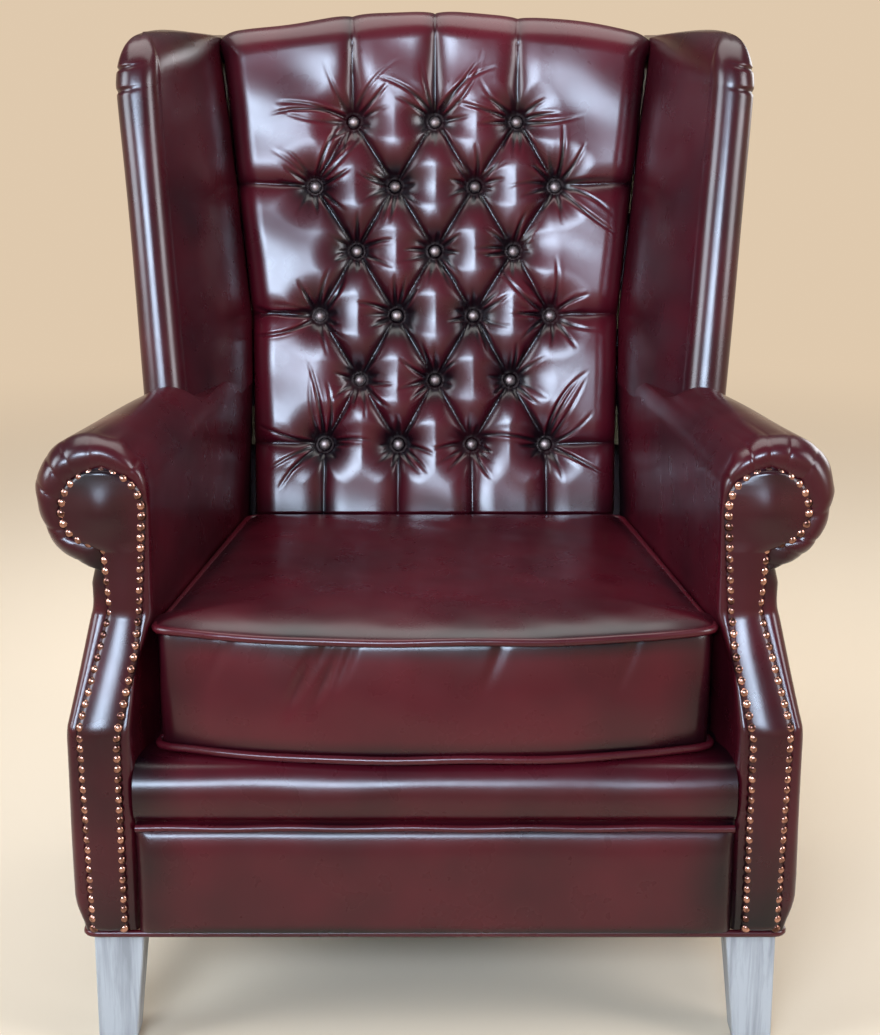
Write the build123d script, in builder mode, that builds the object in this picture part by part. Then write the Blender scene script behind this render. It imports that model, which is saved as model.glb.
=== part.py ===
from build123d import *
import os
from math import atan, cos, degrees, pi, radians, sin, sqrt, tan

# Overall sizes in millimetres. The chair faces -Y, X runs to its right hand seen from the front.
width = 842.0  # over the two arm scrolls
depth = 800.0  # from the nail heads in front to the back of the top roll
height = 1075.0  # floor to the crest of the back
seat_height = 465.0  # floor to the top edge of the cushion
arm_height = 665.0  # floor to the top of the arms
leg_height = 130.0  # floor to the underside of the seat frame

# Plan of the seat. Both faces of each arm close in by the splay from the front to the back.
scroll_overhang = 36.0  # a scroll stands this far outside its arm
arm_thickness = 83.0
arm_splay = 83.0
nail_rise = 4.0
fit = 0.3  # clearance of one padded piece against another

# Seat frame
rail_height = 120.0
rail_thickness = 25.0
rail_inset = 20.0  # side rails stand this far inside the outside arm panels
strap_width = 50.0
strap_thickness = 1.5
block_leg = 60.0
block_height = 80.0
screw_radius = 2.5
screw_length = 36.0
screw_head_radius = 5.0
screw_head_height = 3.0
screw_pitch = 40.0
screw_sides = 8

# Front of the seat, from the base welt up to the cushion
welt_radius = 4.0
welt_corner = 12.0
welt_sides = 8
border_thickness = 9.0
border_lap = 2.0  # the front border stands this far over the rail
lip_depth = 72.0
lip_bulge = 7.0
lip_shoulder = 21.0  # the roll is flat on top from here back
deck_top = 326.7
dust_cover_thickness = 1.0
dust_cover_inset = 24.0

# Arm front: upright below, leaning back above the cushion, upright again at the scroll
fold_low = 365.0
fold_high = 478.0
scroll_set_back = 48.0
facing_thickness = 5.0
facing_margin = 6.0  # facing panel outside its row of nails
rim_thickness = 8.0
post_thickness = 24.0
post_head_share = 0.62  # of the scroll radius
nail_radius = 4.7
nail_top_radius = 2.4
nail_pitch = 11.4
nail_sides = 6
# The row of nails in shares of the arm's thickness and height: up its inner side, round the
# scroll and down its outer side
rising_shares = ((0.425, 0.008), (0.425, 0.413), (0.208, 0.574), (0.076, 0.854))
scroll_shares = (
    (0.076, 0.854),
    (0.22, 0.909),
    (0.57, 0.932),
    (0.92, 0.909),
    (1.064, 0.854),
    (0.92, 0.802),
    (0.56, 0.79),
)
falling_shares = ((0.56, 0.79), (0.5, 0.65), (0.859, 0.4375), (0.8, 0.008))

# Arm body
panel_thickness = 6.0
arm_pad_thickness = 28.0
arm_board_thickness = 3.0
neck_depth = 24.0  # the side draws in by this much under the scroll
neck_height = 489.0
side_fold = 361.0
hem_top = 168.0
hem_tuck = 11.5
crease_drop = 151.0  # scroll crease below the arm top, at the front
wing_crease_drop = 105.0  # the same below the wing
under_share_x = 0.67  # a point on the underside of the scroll, in scroll radii
under_share_z = 0.94
arm_rail_width = 32.0
arm_rail_height = 30.0
arm_rail_top = 613.0
stuff_rail_gap = 12.0  # over the seat rails
stuff_rail_height = 38.0
stuff_rail_thickness = 22.0

# Back: the buttoned face reclines, the outside back rakes a little less
back_recline = radians(14)
back_rake = radians(12.4)
back_thickness = 179.0  # at seat height, measured level
rake_start = 330.0
pillow_height = 26.0
back_pad_depth = 86.0
back_web_depth = 3.0
post_width = 30.0
post_inset = 6.0
back_pad_half = 262.0
back_pad_top_half = 284.0
shoulder_drop = 32.0  # the crest falls by this much from the middle to the wings
roll_height = 42.0  # top roll, at the crest
roll_radius = 16.0
top_rail_height = 62.0
tuck_room = 2.0  # the back stands this far behind the cushion below the seat line

# Buttons of the back: rows of four and three by turns, from the seat up
button_rows = 6
first_row = 87.0
row_pitch = 81.3
field_waist = first_row + 2 * row_pitch  # the field widens from this row up
low_pitch = 93.0
high_pitch = 103.0
button_radius = 6.5
button_top_radius = 3.6
button_height = 7.0
button_sides = 10
field_low_half = 227.0
field_waist_half = 231.0
field_top_half = 270.0
field_top_gap = 4.0
field_bottom = 2.0
pillow_shares = (  # of the pillow height, the button pitch and again the button pitch
    (0.0, 0.006, 0.07),
    (0.45, 0.035, 0.10),
    (0.75, 0.09, 0.12),
    (0.92, 0.17, 0.11),
    (1.0, 0.28, 0.08),
)

# Wings
wing_front = 310.0  # front edge of the wing, behind the front plane, where it meets the arm
wing_seat = 645.0
wing_top = 1058.0
wing_shoulder = 1000.0  # the wing starts to round over here
wing_low_half = 336.0
wing_top_half = 368.0
wing_roll = 50.0
wing_waist = 756.0
wing_board = 11.0
wing_board_inset = 30.0
wing_crown_shares = (  # of the rounding height, of half the roll, of the rounding height
    (0.5, 0.25, 0.22),
    (0.86, 0.62, 0.6),
    (1.0, 0.9, 1.05),
)
wing_rear_share = 0.5

# Loose cushion
cushion_front = 2.0  # behind the front plane, in the middle of the bow
cushion_bow = 42.0  # its front bows forward by this much
cushion_gap = 1.0
piping_radius = 4.5
cushion_corner = 26.0
cushion_rear_corner = 14.0
cushion_waist = 3.0
cushion_crown = 20.0
crown_shares = ((0.55, 0.13), (1.0, 0.45))  # of the crown, of the half width
waist_shares = (0.3, 0.7)
core_inset = 14.0
core_skin = 10.0
zip_length = 400.0
zip_tape_width = 25.0
zip_tape_thickness = 1.2
zip_teeth_width = 5.0
zip_teeth_thickness = 1.5
slider_length = 12.0
slider_width = 10.0
slider_wall = 1.2
slider_gap = 0.3
tab_length = 20.0
tab_width = 6.0
tab_thickness = 1.2

# Legs
leg_top = 53.0
leg_foot = 41.0
leg_inset = 6.0
leg_front_inset = 21.0
rear_leg_top = 50.0
rear_leg_foot = 38.0
rear_leg_rake = 55.0
leg_edge = 1.5
plate_side = 44.0
plate_thickness = 2.5
bolt_radius = 4.0
bolt_depth = 46.0
bolt_sides = 8
glide_radius = 10.0
glide_height = 4.0
glide_sides = 16

overrun = 30.0  # cutting shapes pass their edges by this much

# Places that follow from the sizes. Distances "behind the front" count from the front plane.
front = -depth / 2 + nail_rise
side = width / 2 - scroll_overhang
rear_run = (height - shoulder_drop - rake_start) * tan(back_rake)
frame_depth = depth - nail_rise - rear_run
splay_angle = atan(arm_splay / frame_depth)
seat_depth = frame_depth + (seat_height - rake_start) * tan(back_rake) - back_thickness
panel_foot = leg_height + 2 * welt_radius - dust_cover_thickness
rail_top = leg_height + rail_height
border_top = rail_top + border_lap
stuff_rail_bottom = rail_top + stuff_rail_gap
deck_bottom = rail_top + 2 * strap_thickness
welt_height = border_top + welt_radius
post_front = facing_thickness + rim_thickness
back_plane = Plane(
    origin=(0, front + seat_depth, seat_height),
    x_dir=(1, 0, 0),
    z_dir=(0, -cos(back_recline), sin(back_recline)),
)


def finish(name, part):
    """Label a finished piece and write it."""
    part.label = name
    export_step(part, f"parts/{name}.step")


def finish_pair(name, part):
    """Write a right-hand piece and its mirror image on the left."""
    finish("right_" + name, part)
    finish("left_" + name, mirror(part, about=Plane.YZ))


def arm_outside(back):
    """Half width over the outside arm panels, a distance behind the front."""
    return side - arm_splay * min(back, frame_depth) / frame_depth


def arm_inside(back):
    """Half width between the arms, a distance behind the front."""
    return arm_outside(back) - arm_thickness


def back_y(z, inset):
    """Y of the plane that lies this far behind the buttoned face, at a height."""
    return front + seat_depth + (z - seat_height) * tan(back_recline) + inset / cos(back_recline)


def rear_y(z):
    """Y of the outside back at a height: upright at the base, raked above."""
    return front + frame_depth + max(0, z - rake_start) * tan(back_rake)


crest = (height - seat_height + pillow_height * sin(back_recline)) / cos(back_recline)
shoulder = crest - shoulder_drop
roll_plane = Plane(
    origin=back_plane.from_local_coords((0, crest - roll_height, 0)),
    z_dir=(0, sin(back_recline), cos(back_recline)),
)
top_rail_plane = roll_plane.offset(-top_rail_height)


def front_line(shift):
    """The bent front of an arm in side view, shifted back."""
    return [
        (front + shift, 0),
        (front + shift, fold_low),
        (front + scroll_set_back + shift, fold_high),
        (front + scroll_set_back + shift, height),
    ]


def behind(shift):
    """Side view of all that lies behind the bent front of an arm."""
    return [*front_line(shift), (depth, height), (depth, 0)]


def before(shift):
    """Side view of all that lies in front of it."""
    return [*front_line(shift), (-depth, height), (-depth, 0)]


def rear_line(inset):
    """The outside back in side view, from the floor to the top."""
    return [
        (rear_y(0) - inset, 0),
        (rear_y(0) - inset, rake_start),
        (rear_y(height) - inset, height),
    ]


# Arm sections
arm_stations = (0, wing_front, frame_depth, depth)
scroll_tip_radius = (width / 2 - arm_inside(scroll_set_back)) / 2
scroll_growth = (scroll_tip_radius - arm_thickness / 2) / (wing_front - scroll_set_back)
scroll_front_radius = arm_thickness / 2 + scroll_growth * wing_front


def arm_taper(back):
    """One at the front of the arm, falling to zero where the wing starts."""
    return max(0, 1 - back / wing_front)


def scroll_radius(back):
    return arm_thickness / 2 + (scroll_front_radius - arm_thickness / 2) * arm_taper(back)


def crease_height(back):
    return arm_height - wing_crease_drop - (crease_drop - wing_crease_drop) * arm_taper(back)


def hem_half(back):
    """Half width over the arms at the bottom edge, which is drawn in towards the front."""
    return arm_outside(back) - hem_tuck * arm_taper(back)


def side_points(back):
    """Outer side of the arm from its hem up to the crease under the scroll."""
    outer = arm_outside(back)
    neck = outer - neck_depth * arm_taper(back)
    return [
        (hem_half(back), panel_foot),
        (outer, hem_top),
        (outer, side_fold),
        (neck, neck_height),
        (neck, crease_height(back)),
    ]


def arm_profile(back):
    """The right arm cut across: upright inner face, scroll, neck and outer side."""
    inner = arm_inside(back)
    radius = scroll_radius(back)
    centre = (inner + radius, arm_height - radius)
    points = side_points(back)
    under = (centre[0] + under_share_x * radius, centre[1] - under_share_z * radius)
    with BuildSketch(Plane.XZ.offset(-front - back)) as profile:
        with BuildLine():
            Line((inner, panel_foot), (inner, centre[1]))
            CenterArc(centre, radius, 180, -90)
            CenterArc(centre, radius, 90, -90)
            if arm_taper(back) > 0:
                ThreePointArc((inner + 2 * radius, centre[1]), under, points[-1])
            else:
                Line((inner + 2 * radius, centre[1]), points[-1])
            Polyline(*reversed(points), (inner, panel_foot))
        make_face()
    return profile.sketch


def hollow_profile(back):
    """The space inside an arm, and all outside it below the crease."""
    inner = arm_inside(back) + arm_pad_thickness
    with BuildSketch(Plane.XZ.offset(-front - back)) as profile:
        Polygon(
            (inner, 0),
            (inner, crease_height(back)),
            (width, crease_height(back)),
            (width, 0),
            align=None,
        )
    return profile.sketch


def strip(near, far, first, last):
    """Plan of a piece that follows the arm, between two offsets from its inner face."""
    return [
        (arm_inside(first) + near, front + first),
        (arm_inside(last) + near, front + last),
        (arm_inside(last) + far, front + last),
        (arm_inside(first) + far, front + first),
    ]


# Wooden frame of the back: two raked posts with a rail at the top and one above the seat
post_side = arm_outside(depth) - post_inset
frame_inset = back_pad_depth + back_web_depth
post_view = [
    (back_y(stuff_rail_bottom, frame_inset), leg_height),
    (back_y(stuff_rail_bottom, frame_inset), stuff_rail_bottom),
    (back_y(height, frame_inset), height),
    (rear_y(height) - panel_thickness, height),
    (rear_y(0) - panel_thickness, rake_start),
    (rear_y(0) - panel_thickness, leg_height),
]
os.makedirs("parts", exist_ok=True)

with BuildPart() as back_post:
    with BuildSketch(Plane.YZ.offset(post_side - post_width)):
        Polygon(*post_view, align=None)
    extrude(amount=post_width)
    split(bisect_by=roll_plane, keep=Keep.BOTTOM)
finish_pair("back_post", back_post.part)

with BuildPart() as back_top_rail:
    with BuildSketch(Plane.YZ):
        Polygon(*post_view, align=None)
    extrude(amount=post_side - post_width, both=True)
    split(bisect_by=roll_plane, keep=Keep.BOTTOM)
    split(bisect_by=top_rail_plane, keep=Keep.TOP)
finish("back_top_rail", back_top_rail.part)

with BuildPart() as back_stuff_rail:
    stuff_rail_top = stuff_rail_bottom + stuff_rail_height
    with BuildSketch(Plane.YZ):
        Polygon(
            (back_y(stuff_rail_bottom, frame_inset), stuff_rail_bottom),
            (back_y(stuff_rail_top, frame_inset), stuff_rail_top),
            (back_y(stuff_rail_top, frame_inset) + rail_thickness, stuff_rail_top),
            (back_y(stuff_rail_bottom, frame_inset) + rail_thickness, stuff_rail_bottom),
            align=None,
        )
    extrude(amount=post_side - post_width, both=True)
finish("back_stuff_rail", back_stuff_rail.part)

# Arm post: one shaped board behind the facing, with a round head inside the scroll
post_inner = arm_inside(0) + arm_pad_thickness
post_outer = arm_outside(0) - rail_inset
head_radius = scroll_tip_radius * post_head_share
head_centre = (arm_inside(scroll_set_back) + scroll_tip_radius, arm_height - scroll_tip_radius)
with BuildPart() as arm_post:
    with BuildSketch(Plane.XZ):
        Polygon(
            (post_inner, leg_height),
            (post_inner, head_centre[1]),
            head_centre,
            (post_outer - neck_depth, neck_height),
            (post_outer, side_fold),
            (post_outer, leg_height),
            align=None,
        )
        with Locations(head_centre):
            Circle(head_radius)
    extrude(amount=depth, both=True)
    with BuildSketch(Plane.YZ):
        Polygon(*behind(post_front), align=None)
    extrude(amount=width, mode=Mode.INTERSECT)
    with BuildSketch(Plane.YZ):
        Polygon(*behind(post_front + post_thickness), align=None)
    extrude(amount=width, mode=Mode.SUBTRACT)
finish_pair("arm_post", arm_post.part)

# Seat rails, corner blocks and their screws
post_rear = post_front + post_thickness
rear_rail_face = rear_y(0) - panel_thickness - rail_thickness
side_rail_far = arm_thickness - rail_inset
side_rail_near = side_rail_far - rail_thickness
with BuildPart() as front_seat_rail:
    with BuildSketch(Plane.XY.offset(leg_height)):
        with Locations((0, front + post_front + rail_thickness / 2)):
            Rectangle(2 * post_inner, rail_thickness)
    extrude(amount=rail_height)
finish("front_seat_rail", front_seat_rail.part)

with BuildPart() as rear_seat_rail:
    with BuildSketch(Plane.XY.offset(leg_height)):
        with Locations((0, rear_rail_face + rail_thickness / 2)):
            Rectangle(2 * (post_side - post_width), rail_thickness)
    extrude(amount=rail_height)
finish("rear_seat_rail", rear_seat_rail.part)

with BuildPart() as seat_rail:
    with BuildSketch(Plane.XY.offset(leg_height)):
        Polygon(*strip(side_rail_near, side_rail_far, post_rear, frame_depth), align=None)
    extrude(amount=rail_height)
    add(back_post.part, mode=Mode.SUBTRACT)
    with BuildSketch(Plane.YZ):
        Polygon(*post_view[:2], (depth, stuff_rail_bottom), (depth, leg_height), align=None)
    extrude(amount=width, mode=Mode.SUBTRACT)
finish_pair("seat_rail", seat_rail.part)

block_front = post_front + rail_thickness
front_corner = (arm_inside(block_front) + side_rail_near, front + block_front)
rear_corner = (post_side - post_width, rear_rail_face)
front_block = [
    front_corner,
    (front_corner[0] - block_leg, front_corner[1]),
    (arm_inside(block_front + block_leg) + side_rail_near, front_corner[1] + block_leg),
]
rear_block = [
    rear_corner,
    (rear_corner[0] - block_leg, rear_corner[1]),
    (rear_corner[0], rear_corner[1] - block_leg),
]
block_bottom = leg_height + (rail_height - block_height) / 2


def screw_planes(block):
    """Two screws square to the long face of a corner block, one above the other."""
    corner, first, second = (Vector(*point) for point in block)
    along = (second - first).normalized()
    inward = Vector(-along.Y, along.X)
    if inward.dot(corner - first) > 0:
        inward = -inward
    middle = (first + second) / 2
    heights = (-screw_pitch / 2, screw_pitch / 2)
    centre = block_bottom + block_height / 2
    return [Plane((middle.X, middle.Y, centre + h), z_dir=inward) for h in heights]


with BuildPart() as right_screws:
    for block in (front_block, rear_block):
        for plane in screw_planes(block):
            with BuildSketch(plane):
                RegularPolygon(screw_head_radius, screw_sides)
            extrude(amount=screw_head_height)
            with BuildSketch(plane):
                RegularPolygon(screw_radius, screw_sides)
            extrude(amount=-screw_length)
with BuildPart() as corner_screws:
    add(right_screws.part)
    mirror(about=Plane.YZ)
finish("corner_screws", corner_screws.part)

with BuildPart() as corner_blocks:
    with BuildSketch(Plane.XY.offset(block_bottom)):
        Polygon(*front_block, align=None)
        Polygon(*rear_block, align=None)
        mirror(about=Plane.YZ)
    extrude(amount=block_height)
    add(corner_screws.part, mode=Mode.SUBTRACT)
finish("corner_blocks", corner_blocks.part)

# Rails and boards inside the arms
with BuildPart() as arm_rail:
    rail_from = scroll_set_back + post_rear
    rail_start = head_centre[0] - arm_rail_width / 2
    rail_end = post_side - post_width
    with BuildSketch(Plane.XY.offset(arm_rail_top - arm_rail_height)):
        Polygon(
            (rail_start, front + rail_from),
            (rail_end, front + frame_depth),
            (rail_end + arm_rail_width, front + frame_depth),
            (rail_start + arm_rail_width, front + rail_from),
            align=None,
        )
    extrude(amount=arm_rail_height)
    with BuildSketch(Plane.YZ):
        Polygon(*post_view[1:3], (depth, height), (depth, stuff_rail_bottom), align=None)
    extrude(amount=width, mode=Mode.SUBTRACT)
finish_pair("arm_rail", arm_rail.part)

stuff_near = arm_pad_thickness + arm_board_thickness
with BuildPart() as arm_stuff_rail:
    with BuildSketch(Plane.XY.offset(stuff_rail_bottom)):
        Polygon(
            *strip(stuff_near, stuff_near + stuff_rail_thickness, post_rear, frame_depth), align=None
        )
    extrude(amount=stuff_rail_height)
    with BuildSketch(Plane.YZ):
        Polygon(*post_view[1:3], (depth, height), (depth, stuff_rail_bottom), align=None)
    extrude(amount=width, mode=Mode.SUBTRACT)
    # The rail stops in front of the back's stuffing where that is the wider
    with BuildSketch(Plane.YZ):
        Polygon(
            (front + seat_depth + tuck_room, 0),
            (front + seat_depth + tuck_room, height),
            (depth, height),
            (depth, 0),
            align=None,
        )
    extrude(amount=back_pad_half + fit, mode=Mode.SUBTRACT)
finish_pair("arm_stuff_rail", arm_stuff_rail.part)

board_end = seat_depth
with BuildPart() as arm_board:
    with BuildSketch(Plane.XY.offset(stuff_rail_bottom)):
        Polygon(
            *strip(arm_pad_thickness, stuff_near, post_rear + scroll_set_back, board_end), align=None
        )
    extrude(amount=crease_height(0) - stuff_rail_bottom)
finish_pair("arm_board", arm_board.part)

# Wing frame: one shaped board, standing on the arm rail and butted to the back post


def wing_edge(z):
    """Distance behind the front of the wing's front edge, at a height."""
    return wing_front + (z - wing_seat) * tan(back_recline)


def wing_outer(z):
    """Half width over the front roll of the wings, which lean outwards up to the shoulder."""
    rise_share = (min(z, wing_shoulder) - wing_seat) / (wing_shoulder - wing_seat)
    return wing_low_half + (wing_top_half - wing_low_half) * rise_share


def board_profile(z):
    """The wing board cut level: from the middle of the roll to the outer side of the post."""
    middle = wing_outer(z) - wing_roll / 2
    board_front = front + wing_edge(z) + wing_board_inset
    board_rear = back_y(z, frame_inset)
    with BuildSketch(Plane.XY.offset(z)) as profile:
        Polygon(
            (middle - wing_board / 2, board_front),
            (middle + wing_board / 2, board_front),
            (post_side, board_rear),
            (post_side - wing_board, board_rear),
            align=None,
        )
    return profile.sketch


with BuildPart() as wing_frame:
    loft([board_profile(arm_rail_top), board_profile(wing_shoulder)], ruled=True)
finish_pair("wing_frame", wing_frame.part)

# Room in the stuffing for the ends of the back webbing, and the space between the posts
web_half = post_side - wing_board - fit
with BuildPart() as web_space:
    with BuildSketch(Plane.YZ):
        Polygon(
            (back_y(0, back_pad_depth - fit), 0),
            (back_y(height, back_pad_depth - fit), height),
            (back_y(height, frame_inset), height),
            (back_y(0, frame_inset), 0),
            align=None,
        )
    extrude(amount=web_half + fit, both=True)

with BuildPart() as post_space:
    with BuildSketch(Plane.YZ):
        Polygon(
            (back_y(0, back_pad_depth), 0),
            (back_y(height, back_pad_depth), height),
            (depth, height),
            (depth, 0),
            align=None,
        )
    extrude(amount=post_side - post_width, both=True)

# Arm upholstery: inner face, scroll and front rim in one stuffed and covered piece
with BuildPart() as arm_hollow:
    loft([hollow_profile(back) for back in arm_stations], ruled=True)
    with BuildSketch(Plane.YZ):
        Polygon(*behind(post_front), align=None)
    extrude(amount=2 * width, mode=Mode.INTERSECT)

with BuildPart() as arm_pad:
    loft([arm_profile(back) for back in arm_stations], ruled=True)
    with BuildSketch(Plane.YZ):
        Polygon(*before(facing_thickness), align=None)
    extrude(amount=width, mode=Mode.SUBTRACT)
    add(arm_hollow.part, mode=Mode.SUBTRACT)
    # Nothing under the inner face but the rim, so that the deck passes below it
    with BuildSketch(Plane.XY):
        Polygon(
            *strip(-overrun, arm_thickness, post_front, depth),
            align=None,
        )
    extrude(amount=stuff_rail_bottom, mode=Mode.SUBTRACT)
    # The back pad stands behind the inner face, the wing stands on the arm
    with BuildSketch(Plane.YZ):
        Polygon(
            (front + seat_depth + tuck_room, 0),
            (front + seat_depth + tuck_room, seat_height),
            (back_y(seat_height, pillow_height), seat_height),
            (back_y(height, pillow_height), height),
            (depth, height),
            (depth, 0),
            align=None,
        )
    extrude(amount=back_pad_half + fit, mode=Mode.SUBTRACT)
    with BuildSketch(Plane.YZ):
        Polygon(
            (back_y(seat_height, 0), seat_height),
            (back_y(height, 0), height),
            (depth, height),
            (depth, seat_height),
            align=None,
        )
    extrude(amount=field_waist_half + fit, mode=Mode.SUBTRACT)
    with BuildSketch(Plane.YZ):
        Polygon(
            (front + wing_front, wing_seat),
            (front + wing_front, height),
            (depth, height),
            (depth, wing_seat),
            align=None,
        )
    extrude(amount=width, mode=Mode.SUBTRACT)
    with BuildSketch(Plane.YZ):
        Polygon(*rear_line(panel_thickness), (depth, height), (depth, 0), align=None)
    extrude(amount=width, mode=Mode.SUBTRACT)
    add(arm_post.part, mode=Mode.SUBTRACT)
    add(back_post.part, mode=Mode.SUBTRACT)
    add(arm_rail.part, mode=Mode.SUBTRACT)
    add(wing_frame.part, mode=Mode.SUBTRACT)
    add(web_space.part, mode=Mode.SUBTRACT)
    add(post_space.part, mode=Mode.SUBTRACT)
finish_pair("arm_pad", arm_pad.part)


def side_plan(half_width, stations):
    """Plan of all inside one outer face of the right arm."""
    edge = [(half_width(back), front + back) for back in stations]
    return [*edge, (0, edge[-1][1]), (0, edge[0][1])]


def neck_half(back):
    """Half width over the neck, which is drawn in towards the front."""
    return arm_outside(back) - neck_depth * arm_taper(back)


# Outside arm: a covered board, drawn in at its front corners to the hem and to the neck
with BuildPart() as side_block:
    with BuildSketch(Plane.XY.offset(panel_foot)):
        Polygon(*side_plan(arm_outside, (0, frame_depth, depth)), align=None)
    extrude(amount=neck_height - panel_foot)
    for low, high in (
        ((arm_outside(0), side_fold), (neck_half(0), neck_height)),
        ((arm_outside(0), hem_top), (hem_half(0), panel_foot)),
    ):
        corner = Vector(low[0], front, low[1])
        drawn = Vector(high[0], front, high[1]) - corner
        along = Vector(arm_outside(wing_front), front + wing_front, high[1]) - corner
        outward = along.cross(drawn)
        if outward.X < 0:
            outward = -outward
        split(bisect_by=Plane(corner, z_dir=outward), keep=Keep.BOTTOM)
    with BuildSketch(Plane.XY.offset(neck_height)):
        Polygon(*side_plan(neck_half, (0, wing_front, frame_depth, depth)), align=None)
    extrude(amount=crease_height(wing_front) - neck_height)
    with BuildSketch(Plane.YZ):
        Polygon(
            (front, panel_foot),
            (front, crease_height(0)),
            (front + wing_front, crease_height(wing_front)),
            (depth, crease_height(wing_front)),
            (depth, panel_foot),
            align=None,
        )
    extrude(amount=width, mode=Mode.INTERSECT)

with BuildPart() as outside_arm:
    add(side_block.part)
    with Locations((-panel_thickness, 0, 0)):
        add(side_block.part, mode=Mode.SUBTRACT)
    with BuildSketch(Plane.YZ):
        Polygon(*behind(post_front), align=None)
    extrude(amount=width, mode=Mode.INTERSECT)
    with BuildSketch(Plane.YZ):
        Polygon(*rear_line(panel_thickness), (depth, height), (depth, 0), align=None)
    extrude(amount=width, mode=Mode.SUBTRACT)
finish_pair("outside_arm", outside_arm.part)

# Facing: a hockey-stick panel, bent over the fold of the arm front, edged by one row of nails
face_inner = arm_inside(scroll_set_back)
face_height = arm_height - panel_foot


def on_face(x_share, z_share):
    """A point of the arm front, in shares of the arm's thickness and of its height."""
    return (face_inner + x_share * arm_thickness, panel_foot + z_share * face_height)


scroll_spots = [on_face(*share) for share in scroll_shares]
with BuildLine() as nail_line:
    Polyline(*(on_face(*share) for share in rising_shares))
    for first in range(0, len(scroll_spots) - 1, 2):
        ThreePointArc(*scroll_spots[first : first + 3])
    Polyline(*(on_face(*share) for share in falling_shares))

with BuildPart() as arm_facing:
    with BuildSketch(Plane.XZ):
        with BuildLine():
            add(nail_line.line)
            Line(nail_line.line @ 0, nail_line.line @ 1)
        make_face()
        offset(amount=facing_margin)
        with BuildLine():
            Polyline((0, 0), (width, 0), (width, panel_foot), (0, panel_foot), close=True)
        make_face(mode=Mode.SUBTRACT)
    extrude(amount=depth, both=True)
    with BuildSketch(Plane.YZ):
        Polygon(*behind(0), align=None)
    extrude(amount=width, mode=Mode.INTERSECT)
    with BuildSketch(Plane.YZ):
        Polygon(*behind(facing_thickness), align=None)
    extrude(amount=width, mode=Mode.SUBTRACT)
finish_pair("arm_facing", arm_facing.part)

fold_angle = atan(scroll_set_back / (fold_high - fold_low))


def nail_plane(x, z):
    """Plane on the bent front of the facing, at a place in front view."""
    if z <= fold_low:
        return Plane((x, front, z), z_dir=(0, -1, 0))
    if abs(z - fold_high) < nail_radius:
        lift = nail_radius * tan(fold_angle / 2)
        face = front + scroll_set_back - lift
        return Plane((x, face, z), z_dir=(0, -cos(fold_angle / 2), sin(fold_angle / 2)))
    if z >= fold_high:
        return Plane((x, front + scroll_set_back, z), z_dir=(0, -1, 0))
    set_back = (z - fold_low) * tan(fold_angle)
    return Plane((x, front + set_back, z), z_dir=(0, -cos(fold_angle), sin(fold_angle)))


def studs(planes, radius, top_radius, rise, sides):
    """Equal low heads with flat sides, one standing on each plane, as separate solids."""
    narrowing = (radius - top_radius) * cos(pi / sides)
    with BuildPart() as head:
        with BuildSketch():
            RegularPolygon(radius, sides)
        extrude(amount=rise, taper=degrees(atan(narrowing / rise)))
    return Compound([head.part.solid().moved(plane.location) for plane in planes])


nail_wire = nail_line.wire()
nail_count = round(nail_wire.length / nail_pitch)
nail_spots = [nail_wire @ (n / nail_count) for n in range(nail_count + 1)]
nail_planes = [nail_plane(spot.X, spot.Y) for spot in nail_spots]
finish_pair("facing_nails", studs(nail_planes, nail_radius, nail_top_radius, nail_rise, nail_sides))


def body_half(w):
    """Half width of the back's body at a height up the slope."""
    rise_share = (min(max(w, field_waist), shoulder) - field_waist) / (shoulder - field_waist)
    return back_pad_half + (back_pad_top_half - back_pad_half) * rise_share


def slope(z, inset):
    """How far up the slope of the back a point lies, at a height and inset behind its face."""
    return (z - seat_height + inset * sin(back_recline)) / cos(back_recline)


# Back: a stuffed body under a top roll, with one pillow in each cell of the button grid
with BuildPart() as back_body:
    with BuildSketch(Plane.YZ):
        Polygon(
            (back_y(0, pillow_height), 0),
            (back_y(height, pillow_height), height),
            (rear_y(height), height),
            (rear_y(0), rake_start),
            (rear_y(0), 0),
            align=None,
        )
    extrude(amount=back_pad_top_half, both=True)
    split(bisect_by=roll_plane, keep=Keep.TOP)
    meeting = seat_height + (tuck_room - pillow_height / cos(back_recline)) / tan(back_recline)
    with BuildSketch(Plane.YZ):
        Polygon(
            (front + seat_depth + tuck_room, deck_bottom),
            (front + seat_depth + tuck_room, meeting),
            (back_y(height, pillow_height), height),
            (back_y(height, back_pad_depth), height),
            (back_y(deck_bottom, back_pad_depth), deck_bottom),
            align=None,
        )
    extrude(amount=back_pad_top_half, both=True)
    with BuildSketch(back_plane):
        with BuildLine():
            ThreePointArc((-back_pad_top_half, shoulder), (0, crest), (back_pad_top_half, shoulder))
            Line((back_pad_top_half, shoulder), (back_pad_half, field_waist))
            Line((back_pad_half, field_waist), (back_pad_half, -height))
            Line((back_pad_half, -height), (-back_pad_half, -height))
            Line((-back_pad_half, -height), (-back_pad_half, field_waist))
            Line((-back_pad_half, field_waist), (-back_pad_top_half, shoulder))
        make_face()
    extrude(amount=depth, both=True, mode=Mode.INTERSECT)
    fillet(back_body.edges().group_by(Axis.Z)[-1], radius=roll_radius)


def field_half(w):
    """Half width of the buttoned field at a height up the slope."""
    if w < field_waist:
        return field_low_half + (field_waist_half - field_low_half) * w / field_waist
    rise = (w - field_waist) / (shoulder - field_waist)
    return field_waist_half + (field_top_half - field_waist_half) * rise


def button_spot(row, place):
    """A button of the grid, counted from the seat up and from the left."""
    count = 4 - row % 2
    pitch = low_pitch + (high_pitch - low_pitch) * row / (button_rows - 1)
    return ((place - (count - 1) / 2) * pitch, first_row + row * row_pitch)


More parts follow.
